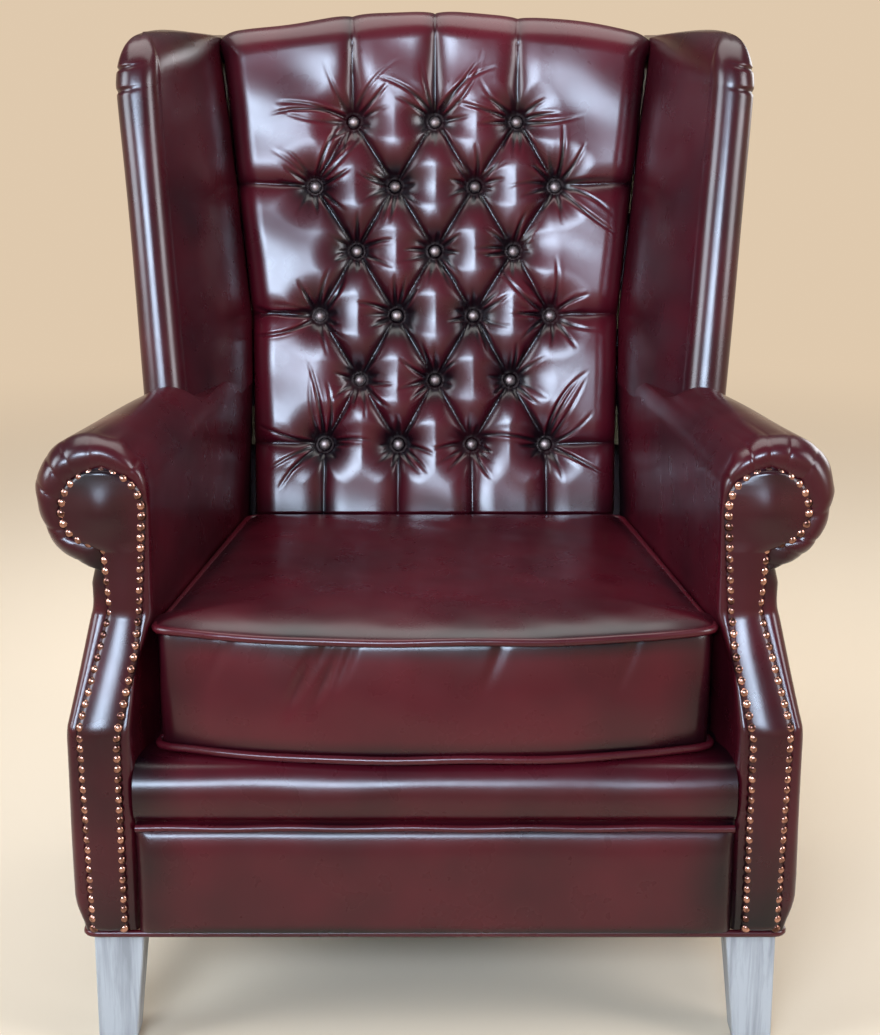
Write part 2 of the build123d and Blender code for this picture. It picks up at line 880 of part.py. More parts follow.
def field_top(u):
    """Height of the buttoned field under the arch of the top edge."""
    arch_radius = (back_pad_top_half**2 + shoulder_drop**2) / (2 * shoulder_drop)
    return crest - field_top_gap - arch_radius + sqrt(arch_radius**2 - u**2)


def pillow_cells():
    """Outlines of all the pillows: diamonds, then those along the edges of the field."""
    last = button_rows - 1
    cells = []
    for row in range(1, last):
        shift = row % 2
        for place in range(3 - shift):
            top = button_spot(row + 1, place + shift)
            bottom = button_spot(row - 1, place + shift)
            cells.append([button_spot(row, place), bottom, button_spot(row, place + 1), top])
    for place in range(3):
        left, right = button_spot(0, place), button_spot(0, place + 1)
        foot = [(left[0], field_bottom), (right[0], field_bottom)]
        cells.append([left, *foot, right, button_spot(1, place)])
    for place in range(2):
        left, right = button_spot(last, place), button_spot(last, place + 1)
        head = [(right[0], field_top(right[0])), (left[0], field_top(left[0]))]
        cells.append([left, button_spot(last - 1, place + 1), right, *head])
    for sign in (-1, 1):
        edge = []
        for row in range(button_rows):
            u, w = button_spot(row, 0)
            edge.append((sign * -u, w))
        low, high = edge[0], edge[last]
        low_half, high_half = field_half(field_bottom), field_half(shoulder)
        cells.append(
            [
                low,
                (sign * field_half(low[1]), low[1]),
                (sign * low_half, field_bottom),
                (low[0], field_bottom),
            ]
        )
        for row in range(1, last, 2):
            below, above = edge[row - 1], edge[row + 1]
            rim = [(sign * field_half(w), w) for w in (below[1], above[1])]
            cells.append([edge[row], below, *rim, above])
        below = edge[last - 1]
        rim = [(sign * field_half(below[1]), below[1]), (sign * high_half, field_top(high_half))]
        cells.append([high, below, *rim, (high[0], field_top(high[0]))])
    return cells


def pillow(corners):
    """One pillow: its outline drawn in step by step as it rises off the pleats."""
    sections = []
    for rise_share, inset_share, corner_share in pillow_shares:
        with BuildSketch(back_plane.offset((rise_share - 1) * pillow_height)) as section:
            with BuildLine():
                Polyline(*corners, close=True)
            make_face()
            offset(amount=-inset_share * low_pitch, kind=Kind.INTERSECTION)
            chamfer(section.vertices(), length=corner_share * low_pitch)
        sections.append(section.sketch)
    return loft(sections, ruled=True)


button_planes = []
for row in range(button_rows):
    for place in range(4 - row % 2):
        u, w = button_spot(row, place)
        origin = back_plane.from_local_coords((u, w, -pillow_height))
        button_planes.append(Plane(origin, z_dir=back_plane.z_dir))
buttons = studs(button_planes, button_radius, button_top_radius, button_height, button_sides)
finish("back_buttons", buttons)

well_radius = button_radius + fit
pillows = [pillow(corners) for corners in pillow_cells()]
wells = studs(button_planes, well_radius, well_radius, pillow_height, button_sides)
with BuildPart() as back_pad:
    add(back_body.part)
    add(pillows, clean=False)
    add(wells, mode=Mode.SUBTRACT, clean=False)
finish("back_pad", back_pad.part)

# Wings: stuffed all round the wing frame, with a full roll along the front edge
def wing_profile(z, drawn_in, set_back):
    """Plan of the right wing at a height, drawn in at its sides and set back in front."""
    outer = wing_outer(z) - drawn_in
    inner = outer - wing_roll + 2 * drawn_in
    radius = (outer - inner) / 2
    nose = front + wing_edge(z) + set_back
    knee = field_half(slope(z, pillow_height)) + cushion_gap
    pad_face = back_y(z, pillow_height) - fit
    beside = body_half(slope(z, back_thickness)) + 2 * fit
    rear = rear_y(z) - panel_thickness - wing_rear_share * set_back
    with BuildSketch(Plane.XY.offset(z)) as profile:
        with BuildLine():
            ThreePointArc((outer, nose + radius), (outer - radius, nose), (inner, nose + radius))
            Polyline(
                (inner, nose + radius),
                (knee, pad_face),
                (beside, pad_face),
                (beside, rear),
                (arm_outside(depth) - wing_rear_share * drawn_in, rear),
                (outer, nose + radius),
            )
        make_face()
    return profile.sketch


with BuildPart() as wing_pad:
    crown_height = wing_top - wing_shoulder
    sections = [wing_profile(z, 0, 0) for z in (wing_seat, wing_waist, wing_shoulder)]
    for rise_share, in_share, back_share in wing_crown_shares:
        z = wing_shoulder + rise_share * crown_height
        sections.append(wing_profile(z, in_share * wing_roll / 2, back_share * crown_height))
    loft(sections, ruled=True)
    add(wing_frame.part, mode=Mode.SUBTRACT)
    add(back_post.part, mode=Mode.SUBTRACT)
    add(web_space.part, mode=Mode.SUBTRACT)
    add(post_space.part, mode=Mode.SUBTRACT)
finish_pair("wing_pad", wing_pad.part)

# Outside back: one covered board, bent where the back begins to rake
with BuildPart() as outside_back:
    with BuildSketch(Plane.YZ):
        Polygon(
            (rear_y(0), panel_foot),
            (rear_y(0), rake_start),
            (rear_y(height), height),
            (rear_y(height) - panel_thickness, height),
            (rear_y(0) - panel_thickness, rake_start),
            (rear_y(0) - panel_thickness, panel_foot),
            align=None,
        )
    extrude(amount=arm_outside(depth), both=True)
    split(bisect_by=roll_plane, keep=Keep.BOTTOM)
finish("outside_back", outside_back.part)

# Webbing: straps across the seat frame and across the frame of the back
with BuildPart() as seat_webbing:
    long_straps = 5
    cross_straps = 4
    strap_run = frame_depth - panel_thickness - post_front
    cross_run = back_y(stuff_rail_bottom, frame_inset) - front - post_rear
    with BuildSketch(Plane.XY.offset(rail_top)):
        with Locations((0, front + post_front + strap_run / 2)):
            with GridLocations(2 * strap_width, 0, long_straps, 1):
                Rectangle(strap_width, strap_run)
    extrude(amount=strap_thickness)
    for n in range(cross_straps):
        back = post_rear + cross_run * (n + 1) / (cross_straps + 1)
        reach = arm_outside(back + strap_width) - rail_inset
        with BuildSketch(Plane.XY.offset(rail_top + strap_thickness)):
            with Locations((0, front + back)):
                Rectangle(2 * reach, strap_width)
        extrude(amount=strap_thickness)
finish("seat_webbing", seat_webbing.part)

with BuildPart() as back_webbing:
    upright_straps = 4
    level_straps = 4
    web_plane = back_plane.offset(-frame_inset)
    web_foot = slope(stuff_rail_bottom, frame_inset)
    web_head = crest - roll_height - top_rail_height / 2
    with BuildSketch(web_plane):
        for n in range(level_straps):
            with Locations((0, web_foot + (web_head - web_foot) * (n + 1) / (level_straps + 1))):
                Rectangle(2 * web_half, strap_width)
    extrude(amount=strap_thickness)
    with BuildSketch(web_plane.offset(strap_thickness)):
        with Locations((0, (web_foot + web_head) / 2)):
            with GridLocations(2 * strap_width, 0, upright_straps, 1):
                Rectangle(strap_width, web_head - web_foot)
    extrude(amount=strap_thickness - fit)
finish("back_webbing", back_webbing.part)

# Deck under the cushion, the lip roll in front of it and the covered front rail
with BuildPart() as seat_platform:
    deck_back = seat_depth + tuck_room - fit
    with BuildSketch(Plane.XY.offset(deck_bottom)):
        Polygon(
            (arm_inside(lip_depth) - fit, front + lip_depth),
            (arm_inside(deck_back) - fit, front + deck_back),
            (fit - arm_inside(deck_back), front + deck_back),
            (fit - arm_inside(lip_depth), front + lip_depth),
            align=None,
        )
    extrude(amount=deck_top - deck_bottom)
finish("seat_platform", seat_platform.part)

with BuildPart() as lip_roll:
    with BuildSketch(Plane.YZ):
        with BuildLine():
            face = front + welt_radius
            nose_height = (deck_bottom + deck_top) / 2
            Line((front + lip_depth, deck_top), (front + lip_depth, deck_bottom))
            Line((front + lip_depth, deck_bottom), (face, deck_bottom))
            Line((face, deck_bottom), (face, welt_height + welt_radius))
            ThreePointArc(
                (face, welt_height + welt_radius),
                (face - lip_bulge, nose_height),
                (face + lip_bulge, deck_top - lip_bulge),
            )
            Line((face + lip_bulge, deck_top - lip_bulge), (face + lip_shoulder, deck_top))
            Line((face + lip_shoulder, deck_top), (front + lip_depth, deck_top))
        make_face()
    extrude(amount=width / 2, both=True)
    with BuildSketch():
        Polygon(
            (arm_inside(0) - fit, front - lip_depth),
            (arm_inside(0) - fit, front),
            (arm_inside(lip_depth) - fit, front + lip_depth),
            (fit - arm_inside(lip_depth), front + lip_depth),
            (fit - arm_inside(0), front),
            (fit - arm_inside(0), front - lip_depth),
            align=None,
        )
    extrude(amount=height, mode=Mode.INTERSECT)
finish("lip_roll", lip_roll.part)

border_half = arm_inside(post_front) - fit
with BuildPart() as front_border:
    with BuildSketch(Plane.YZ):
        with Locations((front + welt_radius, panel_foot)):
            Rectangle(border_thickness, border_top - panel_foot, align=(Align.MIN, Align.MIN))
    extrude(amount=border_half, both=True)
finish("front_border", front_border.part)

with BuildPart() as front_welt:
    with BuildSketch(Plane.YZ):
        with Locations((front, welt_height)):
            RegularPolygon(welt_radius, welt_sides)
    extrude(amount=border_half, both=True)
finish("front_welt", front_welt.part)

# Base welt: one piped edge round the whole foot of the upholstery
with BuildSketch(Plane.XY.offset(panel_foot - welt_radius)) as base_plan:
    Polygon(
        (hem_half(0), front + welt_radius),
        (hem_half(wing_front), front + wing_front),
        (hem_half(frame_depth), rear_y(0) - panel_thickness + welt_radius),
        (-hem_half(frame_depth), rear_y(0) - panel_thickness + welt_radius),
        (-hem_half(wing_front), front + wing_front),
        (-hem_half(0), front + welt_radius),
        align=None,
    )
    fillet(base_plan.vertices(), radius=welt_corner)
welt_path = base_plan.sketch.wires()[0]
with BuildPart() as base_welt:
    with BuildSketch(Plane(welt_path @ 0, z_dir=welt_path % 0)):
        RegularPolygon(welt_radius, welt_sides)
    sweep(path=welt_path, clean=False)
finish("base_welt", base_welt.part)

# Legs: square, tapered to the foot, with a steel plate on top, a bolt and a glide
front_leg_x = arm_outside(0) - leg_front_inset - leg_top / 2
front_leg_back = leg_inset + leg_top / 2
rear_leg_x = arm_outside(depth) - leg_inset - rear_leg_top / 2
rear_leg_back = frame_depth - panel_thickness - rear_leg_top / 2
leg_head = leg_height - plate_thickness


def taper_view(place, top, foot, foot_shift):
    """A leg seen square on: as wide as its top under the plate, its foot moved sideways."""
    return [
        (place - top / 2, leg_head),
        (place + top / 2, leg_head),
        (place + foot_shift + foot / 2, glide_height),
        (place + foot_shift - foot / 2, glide_height),
    ]


def leg(x, back, top, foot, foot_x, rake):
    """One leg from its glide up to its plate, its foot moved sideways and backwards."""
    with BuildPart() as body:
        with BuildSketch(Plane.XZ):
            Polygon(*taper_view(x, top, foot, foot_x), align=None)
        extrude(amount=depth, both=True)
        with BuildSketch(Plane.YZ):
            Polygon(*taper_view(front + back, top, foot, rake), align=None)
        extrude(amount=width, both=True, mode=Mode.INTERSECT)
        long_edges = body.edges().filter_by(lambda edge: edge.length > leg_head / 2 + top / 2)
        chamfer(long_edges, length=leg_edge)
        with BuildSketch(Plane.XY.offset(leg_head)):
            with Locations((x, front + back)):
                RegularPolygon(bolt_radius, bolt_sides)
        extrude(amount=-bolt_depth, mode=Mode.SUBTRACT)
    return body.part


front_foot_x = (leg_top - leg_foot) / 2
front_leg = leg(front_leg_x, front_leg_back, leg_top, leg_foot, front_foot_x, -front_foot_x)
finish_pair("front_leg", front_leg)
rear_foot_x = (rear_leg_top - rear_leg_foot) / 2
rear_leg = leg(
    rear_leg_x, rear_leg_back, rear_leg_top, rear_leg_foot, rear_foot_x, rear_leg_rake
)
finish_pair("rear_leg", rear_leg)

leg_spots = [
    (sign * x, front + back)
    for x, back in ((front_leg_x, front_leg_back), (rear_leg_x, rear_leg_back))
    for sign in (-1, 1)
]
foot_spots = [
    (sign * x, front + back)
    for x, back in (
        (front_leg_x + front_foot_x, front_leg_back - front_foot_x),
        (rear_leg_x + rear_foot_x, rear_leg_back + rear_leg_rake),
    )
    for sign in (-1, 1)
]
with BuildPart() as leg_plates:
    with BuildSketch(Plane.XY.offset(leg_head)):
        with Locations(*leg_spots):
            Rectangle(plate_side, plate_side)
            RegularPolygon(bolt_radius, bolt_sides, mode=Mode.SUBTRACT)
    extrude(amount=plate_thickness)
finish("leg_plates", leg_plates.part)

with BuildPart() as leg_bolts:
    with BuildSketch(Plane.XY.offset(leg_height)):
        with Locations(*leg_spots):
            RegularPolygon(bolt_radius, bolt_sides)
    extrude(amount=-plate_thickness - bolt_depth)
finish("leg_bolts", leg_bolts.part)

with BuildPart() as leg_glides:
    with BuildSketch():
        with Locations(*foot_spots):
            RegularPolygon(glide_radius, glide_sides)
    extrude(amount=glide_height)
finish("leg_glides", leg_glides.part)

with BuildPart() as dust_cover:
    with BuildSketch(Plane.XY.offset(leg_height - dust_cover_thickness)):
        Polygon(
            (arm_outside(0) - dust_cover_inset, front + dust_cover_inset),
            (arm_outside(frame_depth) - dust_cover_inset, rear_y(0) - dust_cover_inset),
            (dust_cover_inset - arm_outside(frame_depth), rear_y(0) - dust_cover_inset),
            (dust_cover_inset - arm_outside(0), front + dust_cover_inset),
            align=None,
        )
        with Locations(*leg_spots):
            Rectangle(leg_top + 2 * fit, leg_top + 2 * fit, mode=Mode.SUBTRACT)
    extrude(amount=dust_cover_thickness)
finish("dust_cover", dust_cover.part)

# Loose cushion: a boxed leather case round a foam block, piped along both edges
cushion_bottom = deck_top + fit
cushion_rear = seat_depth - piping_radius - tuck_room
lower_edge = cushion_bottom + piping_radius
upper_edge = seat_height - piping_radius


def cushion_half(back):
    """Half width of the piping line, which keeps clear of the arms."""
    return arm_inside(back) - cushion_gap - piping_radius


def cushion_plan(z, inset):
    """Plan of the cushion at a height, drawn in from the piping line: bowed in front."""
    start = cushion_front + cushion_bow
    with BuildSketch(Plane.XY.offset(z)) as plan:
        with BuildLine():
            side_inset = inset / cos(splay_angle)
            front_half = cushion_half(start + inset) - side_inset
            rear_half = cushion_half(cushion_rear - inset) - side_inset
            left, right = ((sign * front_half, front + start + inset) for sign in (-1, 1))
            rear_left, rear_right = ((sign * rear_half, front + cushion_rear - inset) for sign in (-1, 1))
            ThreePointArc(left, (0, front + cushion_front + inset), right)
            Line(right, rear_right)
            Line(rear_right, rear_left)
            Line(rear_left, left)
        make_face()
        fillet(plan.vertices().group_by(Axis.Y)[0], radius=cushion_corner)
        fillet(plan.vertices().group_by(Axis.Y)[-1], radius=cushion_rear_corner)
    return plan.sketch


with BuildPart() as cushion_core:
    with BuildSketch(Plane.XY.offset(cushion_bottom + core_skin)):
        start = cushion_front + cushion_bow + core_inset
        stop = cushion_rear - core_inset
        Polygon(
            (cushion_half(start) - core_inset, front + start),
            (cushion_half(stop) - core_inset, front + stop),
            (core_inset - cushion_half(stop), front + stop),
            (core_inset - cushion_half(start), front + start),
            align=None,
        )
    extrude(amount=seat_height - cushion_bottom - 2 * core_skin)
finish("cushion_core", cushion_core.part)

with BuildPart() as cushion_cover:
    half = cushion_half(cushion_front + cushion_bow)
    boxing = upper_edge - lower_edge
    sections = [
        cushion_plan(cushion_bottom, 2 * piping_radius),
        cushion_plan(lower_edge, piping_radius),
        *(cushion_plan(lower_edge + s * boxing, piping_radius + cushion_waist) for s in waist_shares),
        cushion_plan(upper_edge, piping_radius),
        *(cushion_plan(upper_edge + rise * cushion_crown, inset * half) for rise, inset in crown_shares),
    ]
    loft(sections, ruled=True)
    add(cushion_core.part, mode=Mode.SUBTRACT)
finish("cushion_cover", cushion_cover.part)

for edge_name, edge_height in (("top", upper_edge), ("bottom", lower_edge)):
    piping_path = cushion_plan(edge_height, 0).wires()[0]
    with BuildPart() as cushion_piping:
        with BuildSketch(Plane(piping_path @ 0, z_dir=piping_path % 0)):
            RegularPolygon(piping_radius, welt_sides)
        sweep(path=piping_path, clean=False)
    finish(f"cushion_{edge_name}_piping", cushion_piping.part)

# Zip along the back border of the cushion, with its slider
zip_height = (lower_edge + upper_edge) / 2
zip_face = front + cushion_rear - piping_radius - cushion_waist
with BuildPart() as cushion_zip:
    with BuildSketch(Plane.YZ):
        with Locations((zip_face, zip_height)):
            Rectangle(zip_tape_thickness, zip_tape_width, align=(Align.MIN, Align.CENTER))
            Rectangle(
                zip_tape_thickness + zip_teeth_thickness,
                zip_teeth_width,
                align=(Align.MIN, Align.CENTER),
            )
    extrude(amount=zip_length / 2, both=True)
finish("cushion_zip", cushion_zip.part)

with BuildPart() as zip_slider:
    channel = slider_gap + zip_teeth_thickness
    slider_face = zip_face + zip_tape_thickness + slider_gap
    with BuildSketch(Plane.YZ.offset(zip_length / 2 - slider_length - slider_width)):
        with Locations((slider_face, zip_height)):
            Rectangle(channel + slider_wall, slider_width, align=(Align.MIN, Align.CENTER))
            Rectangle(
                channel,
                zip_teeth_width + 2 * slider_gap,
                align=(Align.MIN, Align.CENTER),
                mode=Mode.SUBTRACT,
            )
    extrude(amount=slider_length)
    tab_plane = Plane.XZ.offset(-slider_face - channel - slider_wall)
    with BuildSketch(tab_plane):
        with Locations((zip_length / 2 - slider_width - slider_length / 2, zip_height)):
            Rectangle(tab_width, tab_length, align=(Align.CENTER, Align.MAX))
    extrude(amount=-tab_thickness)
finish("zip_slider", zip_slider.part)
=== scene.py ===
import cmath
import math
import bmesh
import bpy
import numpy as np
from mathutils import Matrix, Vector


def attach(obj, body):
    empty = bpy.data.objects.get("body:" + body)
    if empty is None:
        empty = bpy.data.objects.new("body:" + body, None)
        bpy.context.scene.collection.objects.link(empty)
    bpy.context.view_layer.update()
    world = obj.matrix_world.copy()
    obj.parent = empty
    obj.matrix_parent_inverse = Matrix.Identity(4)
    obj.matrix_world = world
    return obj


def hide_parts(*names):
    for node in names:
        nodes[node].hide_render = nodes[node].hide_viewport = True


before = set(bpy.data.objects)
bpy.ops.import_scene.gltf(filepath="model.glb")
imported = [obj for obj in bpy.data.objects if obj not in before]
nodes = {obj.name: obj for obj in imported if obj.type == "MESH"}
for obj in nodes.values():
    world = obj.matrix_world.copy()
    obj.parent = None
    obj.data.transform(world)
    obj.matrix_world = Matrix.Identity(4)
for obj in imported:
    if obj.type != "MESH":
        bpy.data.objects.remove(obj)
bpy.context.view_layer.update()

scene = bpy.context.scene

# Room: a pale card floor that sweeps up into a pale wall all round the chair, without a corner,
# with cool windows in front and at both sides, a broad lamp overhead and a weak one behind.
front_y = -0.396
eye_back, eye_up, eye_down = 1.936, 1.1277, 15.4
off_centre, picture_height = 5, 1035
card, card_seen_far = (0.72, 0.585, 0.43, 1), (0.74, 0.585, 0.42, 1)
seen_from, seen_full, seen_below, seen_none = 1.3, 3.6, 1.8, 3.0
daylight, daylight_strength = (0.86, 0.88, 0.92, 1), 0.2

eye = bpy.data.objects.new("eye", bpy.data.cameras.new("eye"))
scene.collection.objects.link(eye)
eye.data.sensor_width = 36
eye.data.lens = 69.57
eye.data.shift_x = off_centre / picture_height
eye.location = (0.0, front_y - eye_back, eye_up)
eye.rotation_euler = (math.radians(90 - eye_down), 0, 0)
scene.camera = eye


def stand(name, bm):
    """Puts a finished mesh into the scene as an object of its own."""
    mesh = bpy.data.meshes.new(name)
    bm.to_mesh(mesh)
    bm.free()
    piece = bpy.data.objects.new(name, mesh)
    scene.collection.objects.link(piece)
    return piece


def feed(tree, node, sockets):
    """Gives a shader node's sockets a number or colour each, or links them to another output."""
    for name, value in sockets.items():
        if isinstance(value, bpy.types.NodeSocket):
            tree.links.new(value, node.inputs[name])
        else:
            node.inputs[name].default_value = value
    return node


def add(tree, kind, sockets, **settings):
    """A new shader node, with its settings made before its sockets are fed."""
    node = tree.nodes.new(f"ShaderNode{kind}")
    for name, value in settings.items():
        setattr(node, name, value)
    return feed(tree, node, sockets)


def new_material(name):
    """An empty material, its tree and its surface shader."""
    stuff = bpy.data.materials.new(name)
    stuff.use_nodes = True
    return stuff, stuff.node_tree, stuff.node_tree.nodes["Principled BSDF"]


bm = bmesh.new()
rim = [
    (0, 0), (2, 0), (4.5, 0), (6.5, 0), (6.8, 0.05), (7.2, 0.3), (7.45, 0.7), (7.5, 1), (7.5, 4),
]
line = [bm.verts.new((r, 0, z)) for r, z in rim]
drawn = line + [bm.edges.new(pair) for pair in zip(line, line[1:])]
upright, middle = (0, 0, 1), (0, 0, 0)
bmesh.ops.spin(
    bm, geom=drawn, cent=middle, axis=upright, angle=math.tau, steps=96, use_merge=True
)
bmesh.ops.remove_doubles(bm, verts=bm.verts, dist=0.0001)
bmesh.ops.recalc_face_normals(bm, faces=bm.faces)
bmesh.ops.reverse_faces(bm, faces=bm.faces)
for face in bm.faces:
    face.smooth = True
room = stand("room", bm)

paint, tree, shader = new_material("pale_card")
feed(tree, shader, {"Base Color": card, "Roughness": 0.9})
place = add(tree, "TexCoord", {}).outputs["Object"]
height = add(tree, "SeparateXYZ", {"Vector": place}).outputs["Z"]
out = add(tree, "VectorMath", {0: place, 1: (1, 1, 0)}, operation="MULTIPLY")
reach = add(tree, "VectorMath", {0: out.outputs["Vector"]}, operation="LENGTH")
far = add(
    tree, "MapRange",
    {"Value": reach.outputs["Value"], "From Min": seen_from, "From Max": seen_full},
    interpolation_type="SMOOTHSTEP",
)
low = add(
    tree, "MapRange",
    {"Value": height, "From Min": seen_below, "From Max": seen_none, "To Min": 1, "To Max": 0},
)
rays = add(tree, "LightPath", {})
share = rays.outputs["Is Camera Ray"]
for other, operation in (
    (rays.outputs["Is Glossy Ray"], "MAXIMUM"),
    (rays.outputs["Is Transmission Ray"], "MAXIMUM"),
    (far.outputs["Result"], "MULTIPLY"),
    (low.outputs["Result"], "MULTIPLY"),
):
    share = add(tree, "Math", {0: share, 1: other}, operation=operation).outputs["Value"]
glow = add(tree, "Emission", {"Color": card_seen_far})
blend = add(
    tree, "MixShader",
    {"Fac": share, 1: shader.outputs["BSDF"], 2: glow.outputs["Emission"]},
)
feed(tree, tree.nodes["Material Output"], {"Surface": blend.outputs["Shader"]})
room.data.materials.append(paint)

for lamp_name, place, aim, size, power, tint, fan in (
    ("sky_panel", (-0.9, -4.1, 2.3), (0, 0, 0.8), (2.6, 0.9), 33, (0.62, 0.78, 1.0), 50),
    ("window_left", (-2.4, -1.0, 1.7), (0, 0, 0.8), (1.3, 1.4), 17, (0.78, 0.88, 1.0), 80),
    ("window_right", (2.4, -1.2, 1.7), (0, 0, 0.8), (1.1, 1.4), 12, (0.92, 0.94, 1.0), 80),
    ("overhead", (0.0, 0.7, 3.0), (0, 0.8, 0.0), (3.4, 2.2), 60, (1.0, 0.99, 0.97), 150),
    ("fill_behind", (3.2, 3.6, 1.5), (0, 0.4, 0.6), (2.4, 1.6), 9, (0.92, 0.95, 1.0), 70),
):
    lamp = bpy.data.objects.new(lamp_name, bpy.data.lights.new(lamp_name, "AREA"))
    scene.collection.objects.link(lamp)
    lamp.data.shape = "RECTANGLE"
    lamp.data.size, lamp.data.size_y = size
    lamp.data.energy = power
    lamp.data.color = tint
    lamp.data.spread = math.radians(fan)
    lamp.location = place
    lamp.rotation_euler = (Vector(aim) - Vector(place)).to_track_quat("-Z", "Y").to_euler()
world = bpy.data.worlds.new("daylight")
scene.world = world
world.use_nodes = True
sky = world.node_tree.nodes["Background"]
feed(world.node_tree, sky, {"Color": daylight, "Strength": daylight_strength})
scene.view_settings.view_transform = "Standard"

# Back: leather over a sprung and stuffed body, drawn in by domed buttons on twine. The hide is
# folded into pleats from button to button and on to the edges, and rolls over the top rail.
seat_deep, seat_top = 0.4899, 0.465
seat_y = front_y + seat_deep
tilt = math.radians(14)
rake, rake_from = math.radians(12.4), 0.330
waist, shoulder, crest = 0.2496, 0.6032, 0.6352
foot_half, waist_half, shoulder_half = 0.227, 0.231, 0.270
tuft = 0.026
first_row, row_step, button_step, button_spread = 0.087, 0.0813, 0.093, 0.002
rows = [first_row + row_step * row for row in range(6)]
buttons = [
    ((place - (3 - row % 2) / 2) * (button_step + button_spread * row), rows[row])
    for row in range(6)
    for place in range(4 - row % 2)
]
tucked, over_top = 0.152, 0.22


def cloud(tree, scale, detail, stretch=None, **sockets):
    """Soft mottling that is fixed to the piece, drawn out along its axes by stretch."""
    place = add(tree, "TexCoord", {}).outputs["Object"]
    if stretch:
        place = add(tree, "Mapping", {"Vector": place, "Scale": stretch}).outputs["Vector"]
    sockets.update({"Vector": place, "Scale": scale, "Detail": detail})
    return add(tree, "TexNoise", sockets).outputs["Fac"]


def ramp(tree, value, start, end):
    """Colour that changes from one to another between two values."""
    tones = add(tree, "ValToRGB", {"Fac": value})
    for n, (at, colour) in enumerate((start, end)):
        tones.color_ramp.elements[n].position = at
        tones.color_ramp.elements[n].color = (*colour, 1)
    return tones.outputs["Color"]


def relief(tree, height, strength, distance, **under):
    """The direction of a surface that height raises and lowers."""
    sockets = {"Height": height, "Strength": strength, "Distance": distance, **under}
    return add(tree, "Bump", sockets).outputs["Normal"]


def leather(name, dark, red, worn, rough):
    """Antiqued hide, grained and glossy: red where the sheet is worn, near black in the folds,
    partly from the finish and partly as painted shade.
    """
    hide, tree, shader = new_material(name)
    patches = {"From Min": 0.32, "From Max": 0.68, "To Min": 0.14, "To Max": 0.37}
    mottle = add(tree, "MapRange", {"Value": cloud(tree, 9, 2.5), **patches})
    # Wear and painted shade in one attribute: low in pleats, wells and folds and along seams where
    # shade falls, high where the hide is worn; the ramp turns it from near black to red.
    wear_shade_layer = add(tree, "Attribute", {}, attribute_name="wear_plus_shade")
    both = add(
        tree, "Math", {0: wear_shade_layer.outputs["Fac"], 1: 0.5, 2: mottle.outputs["Result"]},
        operation="MULTIPLY_ADD",
    )
    antique = ramp(tree, both.outputs["Value"], (0.26, dark), (0.97, red))
    edges = add(tree, "NewGeometry", {}).outputs["Pointiness"]
    rub = ramp(tree, edges, (0.51, (0, 0, 0)), (0.6, (0.4, 0.4, 0.4)))
    wear_plus_shade = add(tree, "Mix", {0: rub, 6: antique, 7: (*worn, 1)}, data_type="RGBA")
    streaks = {"Value": cloud(tree, 26, 4), "To Min": rough - 0.06, "To Max": rough + 0.1}
    place = add(tree, "TexCoord", {}).outputs["Object"]
    grain = add(tree, "TexVoronoi", {"Vector": place, "Scale": 620}, feature="DISTANCE_TO_EDGE")
    pores = relief(tree, grain.outputs["Distance"], 0.07, 0.0005)
    feed(tree, shader, {
        "Base Color": wear_plus_shade.outputs[2],
        "Roughness": add(tree, "MapRange", streaks).outputs["Result"],
        "Specular IOR Level": 0.34,
        "Coat Weight": 0.18,
        "Coat Roughness": 0.2,
        "Normal": relief(tree, cloud(tree, 9, 3), 0.25, 0.003, Normal=pores),
    })
    return hide


oxblood = leather(
    "leather_oxblood", (0.0036, 0.0007, 0.0019), (0.079, 0.0031, 0.0085),
    (0.11, 0.0095, 0.0145), 0.27,
)


def skin(name, across, along, lay, loop=False, rub=None, wear_and_shade_level=0.75):
    """A hide of across by along cells, laid where lay(a, b) puts it, a and b from 0 to 1.

    rub(a, b) gives wear together with painted shade, from 0 in a fold to 1; without it the middle
    of the hide gets the level of its share argument, darker towards its edges, and a loop gets it
    all over."""
    bm = bmesh.new()
    wear_shade_layer = bm.verts.layers.float.new("wear_plus_shade")
    bmesh.ops.create_grid(bm, x_segments=across, y_segments=along, size=0.5)
    flat = np.array([v.co for v in bm.verts]) + 0.5
    a, b = flat[:, 0], flat[:, 1]
    near_edge = np.minimum(np.minimum(a, 1 - a), np.minimum(b, 1 - b))
    # Painted shade with a darker finish at the seams: each piece falls darker towards its edges,
    # where it meets the next.
    edge_finish_and_shade = np.ones_like(a) if loop else np.clip(near_edge / 0.09, 0.1, 1)
    shares = rub(a, b) if rub else wear_and_shade_level * edge_finish_and_shade
    for vert, place, share in zip(bm.verts, lay(a, b), shares):
        vert.co = place
        vert[wear_shade_layer] = share
    if loop:
        bmesh.ops.remove_doubles(bm, verts=bm.verts, dist=0.00002)
    bmesh.ops.recalc_face_normals(bm, faces=bm.faces)
    for face in bm.faces:
        face.smooth = True
    return stand(name, bm)


def dress(piece, material, slot, body, *stands_for):
    """Gives a piece its finish, hangs it on the body it rides on, and hides the frame nodes it
    stands for.
    """
    piece.data.materials.clear()
    piece.data.materials.append(material)
    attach(piece, body)
    if stands_for:
        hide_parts(*stands_for)
    return piece


def ripple(x, y, z):
    """Smooth unevenness of hand stuffing, from -1 to 1, from a few long waves."""
    slow = np.sin(y * 1.9 + 1.1 * np.sin(z * 1.3 + 2.0))
    return (
        np.sin(x * 1.7 + 1.3 * np.sin(y * 1.1 + 0.4)) * slow
        + 0.6 * np.sin(x * 3.1 + y * 2.3 + 1.7 * np.sin(z * 2.1))
        + 0.4 * np.sin(y * 5.3 - z * 3.7 + x * 1.9)
    ) / 2


def field_half(w):
    """Half width of the buttoned field up the slope."""
    low = foot_half + (waist_half - foot_half) * w / waist
    high = waist_half + (shoulder_half - waist_half) * (w - waist) / (shoulder - waist)
    return np.where(w < waist, low, high)


